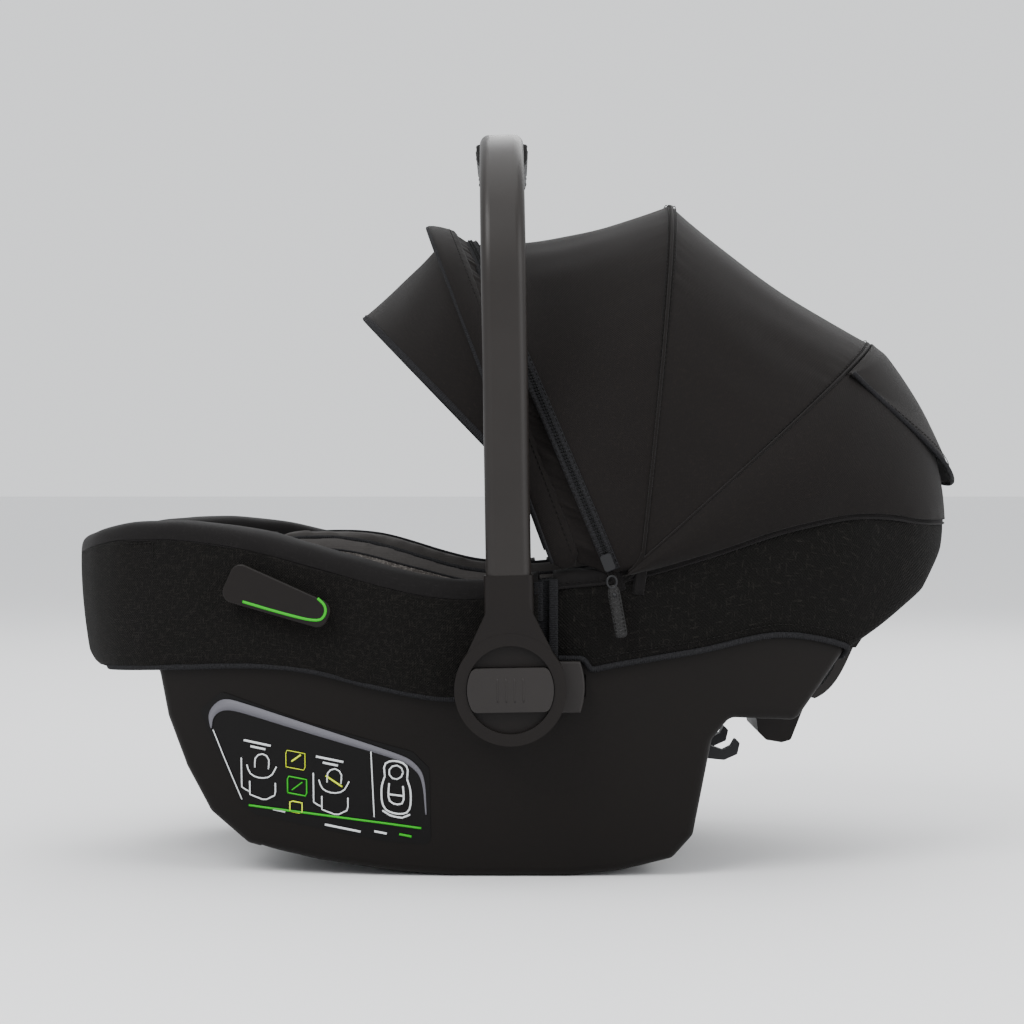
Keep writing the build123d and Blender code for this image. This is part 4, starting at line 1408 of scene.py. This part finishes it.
    def puller(self) -> None:
        """The stitched leather strap that hangs from the slider on a ring."""
        out = np.array([0, -1.0, 0])
        path = resample(np.array([(66.9, -200.7, 213.0), (67.6, -200.8, 209.0), (70.3, -200.9, 194.0),
            (73.3, -200.8, 177.0), (73.5, -200.7, 175.8)]), 60)
        width = np.interp(np.linspace(0, 1, 60), [0, 0.05, 0.14, 0.94, 0.985, 1], [0.5, 0.75, 1, 1, 0.8, 0.55])
        side, up = frames_on(path, np.broadcast_to(out, path.shape))
        rim = rounded_path(np.array([(-4.4, -0.75), (-4.5, 0), (-4.2, 0.7), (4.2, 0.7), (4.5, 0),
            (4.4, -0.75)]), 1)
        grid = (path[:, None] + side[:, None] * (rim[None, :, :1] * width[:, None, None])
                + up[:, None] * rim[None, :, 1:])
        strap = dress(loft("zip_puller_strap", grid, around=True, caps=True), Finishes.leather)
        settle(strap, "canopy_front", ("zip_puller",))
        turn = np.linspace(0, 2 * math.pi, 40, endpoint=False)
        ring = np.stack([66.4 + 3.4 * np.cos(turn), np.full(40, -200.8), 215.2 + 4.2 * np.sin(turn)], -1)
        pin = np.array([(68.2, y, 206.0) for y in (-200.6, -201.2, -201.9, -202.0)])
        metal = [sweep("m", ring, out, round_profile(0.85, 10), closed=True),
            sweep("m", pin, np.array([0, 0, 1.0]), round_profile(1.5, 16))]
        settle(dress(join("zip_puller_metal", metal), Finishes.dark_steel), "canopy_front")
        rows = [stitches("s", path[6:-5] + side[6:-5] * s + up[6:-5] * 0.8, out, step=2.6, length=1.7,
            radius=0.22) for s in (-3.3, 3.3)]
        settle(dress(join("zip_puller_stitches", rows), Finishes.thread), "canopy_front")

    def vent_flap(self) -> None:
        """The flap over the rear vent, sewn along the rear bow and free below, with a corded edge."""
        y = 125.5 * np.sin(np.linspace(-1, 1, 121) * math.pi / 2)
        low = self.window_edge(y, 0.0)
        top = np.full_like(y, self.rear.angle - 0.4)
        low = np.minimum(low, top - 0.5)
        v = np.linspace(0, 1, 34)[:, None]
        angle = np.radians(top * (1 - v) + low * v)
        reach = 283 * (1 - (np.abs(y) / 200) ** 2.4) ** (1 / 2.4)
        lift = -2.4 * (1 - ease(v / 0.12)) + 1.2 * ease((v - 0.6) / 0.4)
        puff = ripple(np.stack([y + 0 * v, v * 120 + 0 * y, 0 * y + 0 * v], -1), 30, 71) * 0.8 * v
        r = reach + lift + puff
        grid = np.stack([PIVOT[0] + r * np.cos(angle), y + 0 * v, PIVOT[1] + r * np.sin(angle)], -1)
        cloth = thicken(dress(loft("vent_flap_cloth", grid[:, ::-1]), Finishes.canopy), 1.6)
        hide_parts("vent_flap")
        spread = np.repeat(np.linspace(0, 1, 34), 121)
        width = np.tile(1 - (np.abs(y[::-1]) / 126) ** 2, 34)
        weight = ease(spread * 1.5) * np.clip(width * 3.0, 0, 1)
        blend_fan(cloth, ("seat", "flap"), weight)
        edge = grid[-1]
        cord = dress(sweep("vent_flap_piping", resample(edge, 200), np.array([1.0, 0, 0.3]),
            round_profile(1.9, 8)), Finishes.binding)
        at = np.interp(points_of(cord)[:, 1], y, np.clip((1 - (np.abs(y) / 126) ** 2) * 3.0, 0, 1))
        blend_fan(cord, ("seat", "flap"), at)
        line = resample(grid[-4] + (grid[-4] - np.array([PIVOT[0], 0, PIVOT[1]])) * 0.003, 200)
        rows = dress(stitches("vent_flap_stitches", line, line - np.array([PIVOT[0], 0, PIVOT[1]]),
            radius=0.36), Finishes.thread)
        near = np.interp(points_of(rows)[:, 1], y, np.clip((1 - (np.abs(y) / 126) ** 2) * 3.0, 0, 1))
        blend_fan(rows, ("seat", "flap"), near)


# ---- The padded inside --------------------------------------------------------------------
@dataclass(frozen=True)
class Filling:
    """How a padded piece is blown up from its CAD solid."""

    node: str
    name: str
    voxel: float
    pressure: float
    cap: float
    finish: Finish
    slot: str
    fill: float


@dataclass
class PaddedInside:
    """The seat pad, the infant insert, the head pillow and the shoulder pads."""

    floor: tuple = ((-352, 212), (-290, 196), (-220, 165), (-150, 122), (-80, 82), (-20, 62), (40, 66),
                    (100, 98), (170, 146), (240, 196), (300, 236), (345, 264))
    insert_rim: tuple = ((-240, 236), (-228, 239), (-193, 247), (-156, 251), (-123, 250), (-79, 239),
                         (-25, 226),
                         (26, 226), (90, 238), (148, 250), (170, 254))
    frames: int = 18
    fillings: tuple = (
        Filling("seat_pad", "seat_pad_cloth", 5.0, 3.0, 5.0, Finishes.knit, "pad_fabric", 0.5),
        Filling("infant_insert", "infant_insert_cloth", 4.5, 4.0, 7.0, Finishes.jersey, "insert_jersey", 0.7),
        Filling("head_pillow", "head_pillow_cloth", 4.5, 4.0, 7.0, Finishes.jersey, "insert_jersey", 0.7),
        Filling("shoulder_pads", "shoulder_pads_cloth", 2.6, 3.0, 2.5, Finishes.knit, "pad_fabric", 0.6))

    def build(self) -> None:
        """Builds every padded piece."""
        for filling in self.fillings:
            piece = self.inflate(filling)
            self.quilt(piece, filling)
            dress(piece, filling.finish)
            if filling.node == "infant_insert":
                self.two_tone(piece)
            settle(piece, "seat", (filling.node,))

    def two_tone(self, piece: Piece) -> None:
        """Sews the melange side strips and the piping onto the insert.

        Args:
            piece: the insert.
        """
        points = np.zeros(len(piece.data.vertices) * 3)
        piece.data.vertices.foreach_get("co", points)
        skin = BVHTree.FromPolygons(points.reshape(-1, 3).tolist(),
            [list(face.vertices) for face in piece.data.polygons])

        def laid(rows: Points, lift: float) -> Points:
            """Lays points on the insert's skin, a little proud of it.

            Args:
                rows: points near the skin.
                lift: how far off the skin they end.
            Returns:
                The points, in the same rows.
            """
            flat = []
            for point in rows.reshape(-1, 3):
                spot, normal, _, _ = skin.find_nearest(Vector(point * MM))
                flat.append(np.array(spot + normal * (lift * MM)) / MM)
            return np.array(flat).reshape(rows.shape)

        turns = SHELL.turns(144.0, False, 300)
        x = SHELL.point(turns, 220.0, -46.0)[:, 0]
        drops = np.linspace(13, 40, 10)
        rows = np.stack([SHELL.point(turns, smooth_height(self.insert_rim, x) - drop, -40.0) for drop in drops])
        edge = SHELL.point(turns, smooth_height(self.insert_rim, x) + 2.0, -50.0)
        for hand in Side:
            part = (edge[:, 0] > -200) & (edge[:, 1] * hand.value > 60)
            side = smoothed(laid(np.stack([resample(row[part], 120) for row in rows]), 0.5))
            if hand is Side.RIGHT:
                side = side[::-1]
            strip = thicken(dress(loft(f"insert_strip_{hand.word}", side), Finishes.strip),
                0.8)
            settle(strip, "seat")
            for name, line, size in (("seam", side[0 if hand is Side.LEFT else -1], 0.8),
                ("edge", smoothed(laid(resample(edge[part], 120), 0.6)[None])[0], 1.5)):
                cord = sweep(f"insert_{name}_{hand.word}", line, np.array([0, hand.value * 0.7, 0.7]),
                    round_profile(size, 8))
                settle(dress(cord, Finishes.binding), "seat")

    def remeshed(self, filling: Filling) -> Piece:
        """A copy of the CAD solid with an even mesh, ready for cloth.

        Args:
            filling: which solid, and how fine.
        Returns:
            The copy.
        """
        source = bpy.data.objects[filling.node]
        piece = bpy.data.objects.new(filling.name, source.data.copy())
        bpy.context.scene.collection.objects.link(piece)
        grid = piece.modifiers.new("grid", "REMESH")
        grid.mode = "VOXEL"
        grid.voxel_size = filling.voxel * MM
        bpy.context.view_layer.update()
        mesh = bpy.data.meshes.new_from_object(piece.evaluated_get(bpy.context.evaluated_depsgraph_get()))
        piece.modifiers.clear()
        piece.data = mesh
        mesh.shade_smooth()
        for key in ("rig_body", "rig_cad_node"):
            if key in piece:
                del piece[key]
        return piece

    def soften(self, piece: Piece, times: int) -> None:
        """Rounds a mesh by moving each point towards its neighbours' middle.

        Args:
            piece: the piece.
            times: how often it is done.
        """
        points = points_of(piece)
        count = len(piece.data.edges)
        pairs = np.zeros(count * 2, int)
        piece.data.edges.foreach_get("vertices", pairs)
        pairs = pairs.reshape(-1, 2)
        degree = np.bincount(pairs.ravel(), minlength=len(points))[:, None]
        for step in range(times * 2):
            total = np.zeros_like(points)
            np.add.at(total, pairs[:, 0], points[pairs[:, 1]])
            np.add.at(total, pairs[:, 1], points[pairs[:, 0]])
            pull = 0.6 if step % 2 == 0 else -0.58
            points = points + pull * (total / np.maximum(degree, 1) - points)
        set_points(piece, points)

    def inflate(self, filling: Filling) -> Piece:
        """Args:
            filling: which solid, and how hard.
        Returns:
            The blown-up piece.
        """
        piece = self.remeshed(filling)
        self.soften(piece, 6)
        start = points_of(piece)
        cloth = piece.modifiers.new("cloth", "CLOTH")
        cloth.settings.quality = 4
        cloth.settings.mass = 0.2
        cloth.settings.tension_stiffness = 12
        cloth.settings.compression_stiffness = 12
        cloth.settings.shear_stiffness = 6
        cloth.settings.bending_stiffness = 0.4
        cloth.settings.use_pressure = True
        cloth.settings.uniform_pressure_force = filling.pressure
        cloth.settings.effector_weights.gravity = 0
        cloth.collision_settings.use_collision = False
        cloth.point_cache.frame_end = self.frames
        for frame in range(1, self.frames + 1):
            bpy.context.scene.frame_set(frame)
        mesh = bpy.data.meshes.new_from_object(piece.evaluated_get(bpy.context.evaluated_depsgraph_get()))
        moved = np.zeros(len(mesh.vertices) * 3)
        mesh.vertices.foreach_get("co", moved)
        moved = moved.reshape(-1, 3) / MM - start
        piece.modifiers.clear()
        bpy.data.meshes.remove(mesh)
        bpy.context.scene.frame_set(1)
        far = np.linalg.norm(moved, axis=1, keepdims=True)
        set_points(piece, start + moved * np.minimum(1, filling.cap / np.maximum(far, 1e-6)))
        return piece

    def quilt(self, piece: Piece, filling: Filling) -> None:
        """Sinks sewn channels into a pad and adds the creases between them.

        Args:
            piece: the pad.
            filling: which pad it is.
        """
        points, normals = points_of(piece), normals_of(piece)
        x, y = points[:, 0], points[:, 1]
        up = np.clip(normals[:, 2] * 1.6, 0, 1)
        if filling.node == "infant_insert":
            lines = [np.abs(x - a - 0.0006 * y ** 2) for a in (-178, -118, -58, 62, 112)]
            depth = sum(4.2 * np.exp(-(gap / 4.5) ** 2) for gap in lines) * (np.abs(y) < 96)
            depth = depth + 3.6 * np.exp(-((np.abs(y) - 97 + 0.0004 * (x + 40) ** 2) / 4.5) ** 2)
        elif filling.node == "head_pillow":
            depth = 4.0 * np.exp(-((np.hypot((x - 222) / 1.0, y / 1.25) - 52) / 5) ** 2)
        elif filling.node == "seat_pad":
            depth = sum(3.0 * np.exp(-((x - a) / 4.0) ** 2) for a in (-318, -286, -254, 180, 235, 285))
        else:
            depth = sum(1.2 * np.exp(-((x - a) / 2.0) ** 2) for a in (62, 132))
        crease = ripple(points, 24, 81) * 0.5 + ripple(points, 10, 82, (1, 2, 1)) * 0.22
        set_points(piece, points - normals * (depth * up)[:, None] + normals * crease[:, None])


# ---- The harness --------------------------------------------------------------------------
@dataclass
class Harness:
    """The straps with their stitching. The buckle and adjuster are CAD pieces with new finishes."""

    width: float = 38.0
    thick: float = 1.8
    floor: tuple = PaddedInside.floor

    def on_floor(self, x: Points, y: float, lift: float) -> Points:
        """A line along the seat, lift millimetres above the bucket's floor."""
        z = smooth_height(self.floor, x) + lift
        return np.stack([x, np.full_like(x, y), z], -1)

    def strap(self, name: str, path: Points, width: float, node: str = "") -> Piece:
        """One strap along a path.

        Args:
            name: the strap's name.
            path: its route.
            width: its width.
            node: the CAD node that it stands for.
        Returns:
            The strap.
        """
        path = resample(path, 160)
        outward = np.array([0.0, 0, 1.0])
        piece = dress(sweep(name, path, outward, flat_profile(width, self.thick)), Finishes.webbing)
        return settle(piece, "seat", (node,) if node else ())

    def build(self) -> None:
        """Builds the straps."""
        for hand in Side:
            y = hand.value * 37.0
            x = np.linspace(22, 151, 80)
            lift = 54.9 + 1.2 * np.sin((x - 22) / 129 * math.pi)
            top = self.on_floor(x, y, 0)
            top[:, 2] += lift
            drop = np.array([[152.9, y, top[-1, 2] - 4], [153.0, y, top[-1, 2] - 30], [153.0, y, 128.0]])
            path = np.concatenate([top, drop])
            self.strap(f"shoulder_strap_{hand.word}", path, self.width, "shoulder_straps")
            x_lap = 23.0
            ys = np.linspace(52, 113, 30)
            z = smooth_height(self.floor, np.full(30, x_lap))[0] + 50.0 + 3.0 * ((ys - 52) / 61) ** 2
            lap = np.stack([np.full(30, x_lap), hand.value * ys, z], -1)
            self.strap(f"lap_strap_{hand.word}", lap, 26.0, "lap_straps")
            side = np.linspace(66, 128, 40)
            for shift in (-20.5, 20.5):
                line = self.on_floor(side, y + shift, 60.8)
                settle(dress(stitches(f"pad_stitches_{hand.word}_{'in' if shift * hand.value < 0 else 'out'}",
                    line, np.array([0, 0, 1.0]), radius=0.34), Finishes.thread), "seat")
        x = np.linspace(-86, -40.6, 30)
        self.strap("crotch_strap_web", self.on_floor(x, 0.0, 47.4), self.width, "crotch_strap")
        x = np.linspace(-226, -178.4, 30)
        tail = self.on_floor(x, 0.0, 47.6)
        tail[:, 2] += 3.0 * np.sin((x + 226) / 47 * math.pi)
        self.strap("adjuster_strap_web", tail, 25.0, "adjuster_strap")


# ---- The handle ---------------------------------------------------------------------------
@dataclass
class Handle:
    """The carry handle's dressed pieces: the stitched grip and the relief on the lock buttons."""

    hub: tuple = (-5.5, 140.0)
    lean: float = 0.96
    top: float = 545.0

    def leaned(self, points: Points) -> Points:
        """Turns points of an upright handle about the hub to its rest angle.

        Args:
            points: points of an upright handle.
        Returns:
            The same points at rest.
        """
        a = math.radians(-self.lean)
        x, z = points[..., 0] - self.hub[0], points[..., 2] - self.hub[1]
        return np.stack([self.hub[0] + x * math.cos(a) + z * math.sin(a), points[..., 1],
                         self.hub[1] - x * math.sin(a) + z * math.cos(a)], -1)

    def build(self) -> None:
        """Builds the grip and the details."""
        self.grip()
        for hand in Side:
            self.button_relief(hand)

    def grip(self) -> None:
        """The leatherette sleeve round the underside of the top bar, with sewn ends and a seam below."""
        y = np.concatenate([[-88.4, -88.2, -87.2], np.linspace(-85.5, 85.5, 150), [87.2, 88.2, 88.4]])
        section = rounded_path(np.array([(17.0, -4.2), (18.8, -4.6), (19.2, -8), (19.2, -13), (18.6, -18),
                                         (14.5, -21.6), (0, -22.0),
                                         (-14.5, -21.6), (-18.6, -18), (-19.2, -13), (-19.2, -8), (-18.8, -4.6),
                                         (-17.0, -4.2)]), 2)
        fat = np.interp(np.abs(y), [0, 60, 78, 80.5, 83, 86, 88.2, 88.4],
            [1.0, 1.0, 0.985, 0.955, 0.985, 1.01, 0.985, 0.93])
        grid = np.zeros((len(y), len(section), 3))
        grid[..., 0] = self.hub[0] + section[None, :, 0] * fat[:, None]
        grid[..., 1] = y[:, None]
        grid[..., 2] = self.top - 11 + (section[None, :, 1] + 11) * (1 + (fat[:, None] - 1) * 1.2)
        crease = ripple(np.stack([grid[..., 0] * 1.5, grid[..., 1], grid[..., 2] * 1.5], -1), 12, 91) * 0.25
        grid[..., 2] -= np.clip(crease, -0.3, 0.3)
        sleeve = dress(loft("grip_sleeve", self.leaned(grid), around=True, caps=True), Finishes.leather)
        settle(sleeve, "handle", ("handle_grip",))
        rows = []
        for edge in (-1, 1):
            ys = np.linspace(-77, 77, 60)
            line = np.stack([np.full(60, self.hub[0] + edge * 19.3), ys, np.full(60, self.top - 8.4)], -1)
            rows.append(stitches("s", self.leaned(line), np.array([float(edge), 0, 0.1]), step=5.0, length=3.4,
                radius=0.45))
            path = np.stack([self.hub[0] + section[:, 0], np.full(len(section), edge * 83.2), self.top
                + section[:, 1]], -1)
            out = np.stack([section[:, 0], 0 * section[:, 0], section[:, 1] + 9], -1)
            rows.append(stitches("s", self.leaned(path), out, step=4.4, radius=0.42))
        ys = np.linspace(-78, 78, 60)
        under = np.stack([np.full(60, self.hub[0] + 3.0), ys, np.full(60, self.top - 22.2)], -1)
        rows.append(stitches("s", self.leaned(under), np.array([0, 0, -1.0]), step=5.0, length=3.4,
            radius=0.45))
        settle(dress(join("grip_stitches", rows), Finishes.thread), "handle")

    def button_relief(self, hand: Side) -> None:
        """Four short ribs for the thumb on the lock button's face.

        Args:
            hand: which side's button.
        """
        face = 221.35 * hand.value
        ribs = []
        for shift in (-9.0, -3.0, 3.0, 9.0):
            path = np.array([(self.hub[0] + shift, face, self.hub[1] - 8.5),
                             (self.hub[0] + shift, face, self.hub[1]),
                             (self.hub[0] + shift, face, self.hub[1] + 8.5)])
            ribs.append(sweep("r", resample(self.leaned(path), 9), np.array([0, float(hand.value), 0]),
                round_profile(0.8, 8) * (1.0, 0.55)))
        piece = dress(join(f"lock_button_ribs_{hand.word}", ribs), Finishes.button)
        settle(piece, f"lock_button_{hand.word}")


# ---- Printed and small pieces -------------------------------------------------------------
@dataclass
class SideLabel:
    """The printed label on each side of the shell: plain pictograms in a border, with no words."""

    band_outer: tuple = ((-224, 107), (-226, 117), (-221, 125), (-213, 129.5), (-200, 126.5), (-150, 111),
                         (-84, 90), (-74, 84), (-67, 74), (-66, 46))
    band_inner: tuple = ((-223, 107), (-222, 115), (-217, 119.5), (-210, 121), (-198, 118.5), (-150, 104.5),
                         (-86, 86.3), (-76.5, 81), (-69, 72.5), (-67, 46))

    def stroke(self, points: list, width: float, hand: Side, lift: float = 1.35, closed: bool = False) -> Piece:
        """One printed line of a given width.

        Args:
            points: the line's (x, z) points on the shell's side.
            width: its width.
            hand: which side.
            lift: how far off the shell it lies.
            closed: whether it ends where it starts.
        Returns:
            The line, as a thin piece.
        """
        path = np.array(points + points[:1] if closed else points, float)
        path = resample(path, max(8, int(along(path)[-1] / 3)))
        line = SHELL.side(path[:, 0], path[:, 1], lift, hand)
        return sweep("stroke", line, np.array([0, float(hand.value), 0.1]),
            np.array([(-width / 2, -0.1), (width / 2, -0.1), (width / 2, 0.12), (-width / 2, 0.12)]))

    def build(self) -> None:
        """Prints both labels."""
        for hand in Side:
            white = self.seat_icon(-186, 78, hand) + self.seat_icon(-133, 68, hand) + self.chair(-88, 62, hand)
            white += [self.stroke([(-222, 106), (-214, 86), (-201, 55)], 0.8, hand),
                self.stroke([(-106, 92), (-104, 44)], 0.9, hand)]
            for x, z, run in ((-199, 99, 20), (-194, 94.6, 11), (-146, 88, 20), (-141, 83.6, 11),
                (-178, 48.6, 9), (-140, 38, 26), (-104, 33.5, 9)):
                white.append(self.stroke([(x, z), (x + run, z - run * 0.19)], 1.5, hand))
            settle(dress(join(f"label_print_{hand.word}", white), Finishes.print_white), "seat")
            outer, inner = (resample(rounded_path(np.array(edge, float), 3), 90)
                for edge in (self.band_outer, self.band_inner))
            grid = np.stack([SHELL.side(edge[:, 0], edge[:, 1], 1.25, hand) for edge in (outer, inner)])
            band = thicken(dress(loft(f"label_band_{hand.word}", grid[:, ::hand.value]), Finishes.print_grey), 0.2)
            settle(band, "seat")
            green = [self.stroke([(-196, 51), (-150, 46), (-100, 40), (-70, 36)], 1.5, hand)]
            green += [self.stroke(self.box(-160, 66, 7), 1.0, hand, closed=True),
                self.stroke([(-164, 63), (-156, 69)], 0.9, hand),
                self.stroke([(-86, 31.5), (-77, 29.8)], 1.6, hand)]
            settle(dress(join(f"label_line_{hand.word}", green), Finishes.green), "seat")
            yellow = [self.stroke(self.box(-161, 50.5, 4.5), 0.9, hand, closed=True),
                self.stroke([(-164, 84), (-157, 89)], 1.2, hand),
                self.stroke(self.box(-161, 85, 7), 0.5, hand, closed=True),
                self.stroke([(-139, 74), (-127, 66)], 1.2, hand)]
            settle(dress(join(f"label_marks_{hand.word}", yellow), Finishes.print_yellow), "seat")

    def box(self, x: float, z: float, half: float) -> list:
        """A small rounded square, tilted with the label."""
        return [(x - half, z - half * 0.7), (x + half, z - half * 1.05), (x + half, z + half * 0.7),
                (x - half, z + half * 1.05)]

    def chair(self, x: float, z: float, hand: Side) -> list:
        """A plain front view of a padded seat: head rest, body and base.

        Args:
            x: the picture's middle along the seat.
            z: its height.
            hand: which side.
        Returns:
            Its lines.
        """
        shapes = [rounded_path(np.array([(-8, 12), (-9, 22), (0, 24), (9, 20), (8, 10)]), 2).tolist(),
                  rounded_path(np.array([(-8, 12), (-11, 4), (-10, -12), (0, -16), (10, -15), (11, 1),
                      (8, 10)]), 2).tolist(),
                  rounded_path(np.array([(-5, 7), (-6, -6), (0, -9), (6, -8), (5, 5)]), 2).tolist(),
                  [(-6, -1), (6, -2.5)], [(-10, -13), (-4, -17), (4, -18.5), (10, -16)]]
        ring = [(5.2 * math.cos(t), 15 + 5.2 * math.sin(t))
                for t in np.linspace(0, 2 * math.pi, 14, endpoint=False)]
        return ([self.stroke([(x + a, z + b) for a, b in shape], 1.3, hand) for shape in shapes]
                + [self.stroke([(x + a, z + b) for a, b in ring], 1.1, hand, closed=True)])

    def seat_icon(self, x: float, z: float, hand: Side) -> list:
        """A plain outline of a carrier with its handle up.

        Args:
            x: the picture's middle along the seat.
            z: its height.
            hand: which side.
        Returns:
            Its lines.
        """
        bowl = rounded_path(np.array([(-11, 3), (-9, -4), (-2, -7), (7, -6), (11, 2)]), 2)
        bar = rounded_path(np.array([(-5, 1), (-5, 9), (1, 12), (6, 8), (5, 0)]), 2)
        block = [(-9, -9), (-9, -19), (2, -23), (10, -19), (10, -10)]
        back = [(-15, 8), (-15, -14), (-9, -17)]
        return [self.stroke([(x + a, z + b) for a, b in shape], 1.0, hand)
                for shape in (bowl.tolist(), bar.tolist(), block, back)]


def smoothed(rows: Points, rounds: int = 14) -> Points:
    """Evens out rows of points along their length, ends held."""
    for _ in range(rounds):
        rows = np.concatenate([rows[:, :1], (rows[:, :-2] + 2 * rows[:, 1:-1] + rows[:, 2:]) / 4, rows[:, -1:]],
            axis=1)
    return rows


@dataclass
class BeltLine:
    """The green line on each belt guide: along its lower edge, and hooked up at its end."""

    centre: tuple = (-172.0, 176.6, 205.0)
    turn: float = 10.3
    tilt: float = -17.0
    face: float = 16.1

    def build(self) -> None:
        """Builds both lines."""
        route = rounded_path(np.array([(-20, -10.6), (8, -9.9), (37.0, -8.0), (41.0, -1.5), (39.0, 5.0),
            (32.0, 8.2)]), 3)
        a, t = math.radians(self.tilt), math.radians(self.turn)
        u = route[:, 0] * math.cos(a) - route[:, 1] * math.sin(a)
        v = route[:, 0] * math.sin(a) + route[:, 1] * math.cos(a)
        for hand in Side:
            x = self.centre[0] + u * math.cos(t) - self.face * math.sin(t)
            y = self.centre[1] + u * math.sin(t) + self.face * math.cos(t)
            path = resample(np.stack([x, hand.value * y, self.centre[2] + v], -1), 90)
            out = np.array([-math.sin(t), hand.value * math.cos(t), 0.0])
            line = sweep(f"belt_line_{hand.word}_mark", path, out,
                np.array([(-0.95, -0.5), (0.95, -0.5), (0.95, 0.1), (0.7, 0.4), (-0.7, 0.4), (-0.95, 0.1)]))
            settle(dress(line, Finishes.green), "seat", (f"belt_line_{hand.word}",))


@dataclass
class Hardware:
    """The CAD pieces that stay as they are, each with the finish of the real one."""

    finishes: dict = field(default_factory=lambda: {
        "outer_shell": Finishes.shell, "seat_bucket": Finishes.inner, "foam_liner": Finishes.inner,
        "pivot_housings": Finishes.inner, "pivot_bolts": Finishes.steel, "belt_guide_left": Finishes.hub,
        "belt_guide_right": Finishes.hub,
        "info_label_left": Finishes.film, "info_label_right": Finishes.film, "rear_latch_block": Finishes.hub,
        "latch_brackets": Finishes.inner, "lever_bracket": Finishes.hub, "lever_pin": Finishes.steel,
        "yoke_plate": Finishes.steel, "buckle_body": Finishes.hub, "buckle_tongues": Finishes.steel,
        "adjuster_housing": Finishes.hub, "buckle_button": Finishes.red, "adjuster_button": Finishes.button,
        "handle_tube": Finishes.tube, "handle_hub_left": Finishes.hub, "handle_hub_right": Finishes.hub,
        "lock_gear_left": Finishes.inner, "lock_gear_right": Finishes.inner, "lock_spring_left": Finishes.steel,
        "lock_spring_right": Finishes.steel, "handle_button_left": Finishes.button,
        "handle_button_right": Finishes.button,
        "memory_button_left": Finishes.button, "memory_button_right": Finishes.button,
        "zip_slider": Finishes.dark_steel,
        "release_lever": Finishes.button, "latch_hooks": Finishes.dark_steel})
    rounded: tuple = ("handle_hub_left", "handle_hub_right", "handle_button_left", "handle_button_right",
                      "rear_latch_block",
                      "release_lever", "adjuster_housing", "lever_bracket", "belt_guide_left",
                      "belt_guide_right")

    def build(self) -> None:
        """Dresses each node."""
        for name, finish in self.finishes.items():
            piece = bpy.data.objects[name]
            material = finish.make()
            for slot in piece.material_slots:
                slot.material = material
            if not piece.material_slots:
                piece.data.materials.append(material)
            if name in self.rounded:
                round_over(piece, 0.8)


# ---- The studio ---------------------------------------------------------------------------
@dataclass
class Studio:
    """A plain pale floor, soft light and the camera."""

    distance: float = 2.0
    height: float = 0.284
    across: float = -0.0044
    frame_width: float = 0.807
    drop: float = -0.0264

    def build(self) -> None:
        """Sets the scene round the seat."""
        pale = Finish("pale paper", "#e9e9ea", 0.9)
        floor = make_object("floor",
            np.array([(-60000, -60000, 0), (60000, -60000, 0), (60000, 60000, 0), (-60000, 60000, 0)]),
            [[0, 1, 2, 3]])
        dress(floor, pale)
        world = bpy.data.worlds.new("studio")
        world.use_nodes = True
        world.node_tree.nodes["Background"].inputs[0].default_value = linear("#f4f6f8")
        world.node_tree.nodes["Background"].inputs[1].default_value = 1.3
        bpy.context.scene.world = world
        for name, place, size, power in (("key", (-1.3, -1.9, 2.3), 1.6, 70),
                                         ("fill", (1.9, -1.7, 1.3), 1.8, 34),
                                         ("back", (0.6, 2.2, 2.2), 1.8, 40), ("top", (0.0, 0.0, 3.0), 2.2, 30)):
            light = bpy.data.lights.new(name, "AREA")
            light.energy, light.size = power, size
            lamp = bpy.data.objects.new(name, light)
            lamp.location = place
            lamp.rotation_euler = (Vector((0, 0, 0.25)) - Vector(place)).to_track_quat("-Z", "Y").to_euler()
            bpy.context.scene.collection.objects.link(lamp)
        lens = bpy.data.cameras.new("camera")
        lens.sensor_width = 36
        lens.lens = 36 * self.distance / self.frame_width
        lens.shift_y = self.drop
        camera = bpy.data.objects.new("camera", lens)
        camera.location = (self.across, -self.distance, self.height)
        camera.rotation_euler = (math.pi / 2, 0, 0)
        bpy.context.scene.collection.objects.link(camera)
        bpy.context.scene.camera = camera


def main() -> None:
    """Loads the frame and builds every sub-assembly."""
    logging.basicConfig(level=logging.INFO, format="%(name)s: %(message)s")
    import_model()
    Studio().build()
    Hardware().build()
    OuterCover().build()
    Canopy().build()
    PaddedInside().build()
    Harness().build()
    Handle().build()
    SideLabel().build()
    BeltLine().build()


if __name__ == "__main__":
    main()
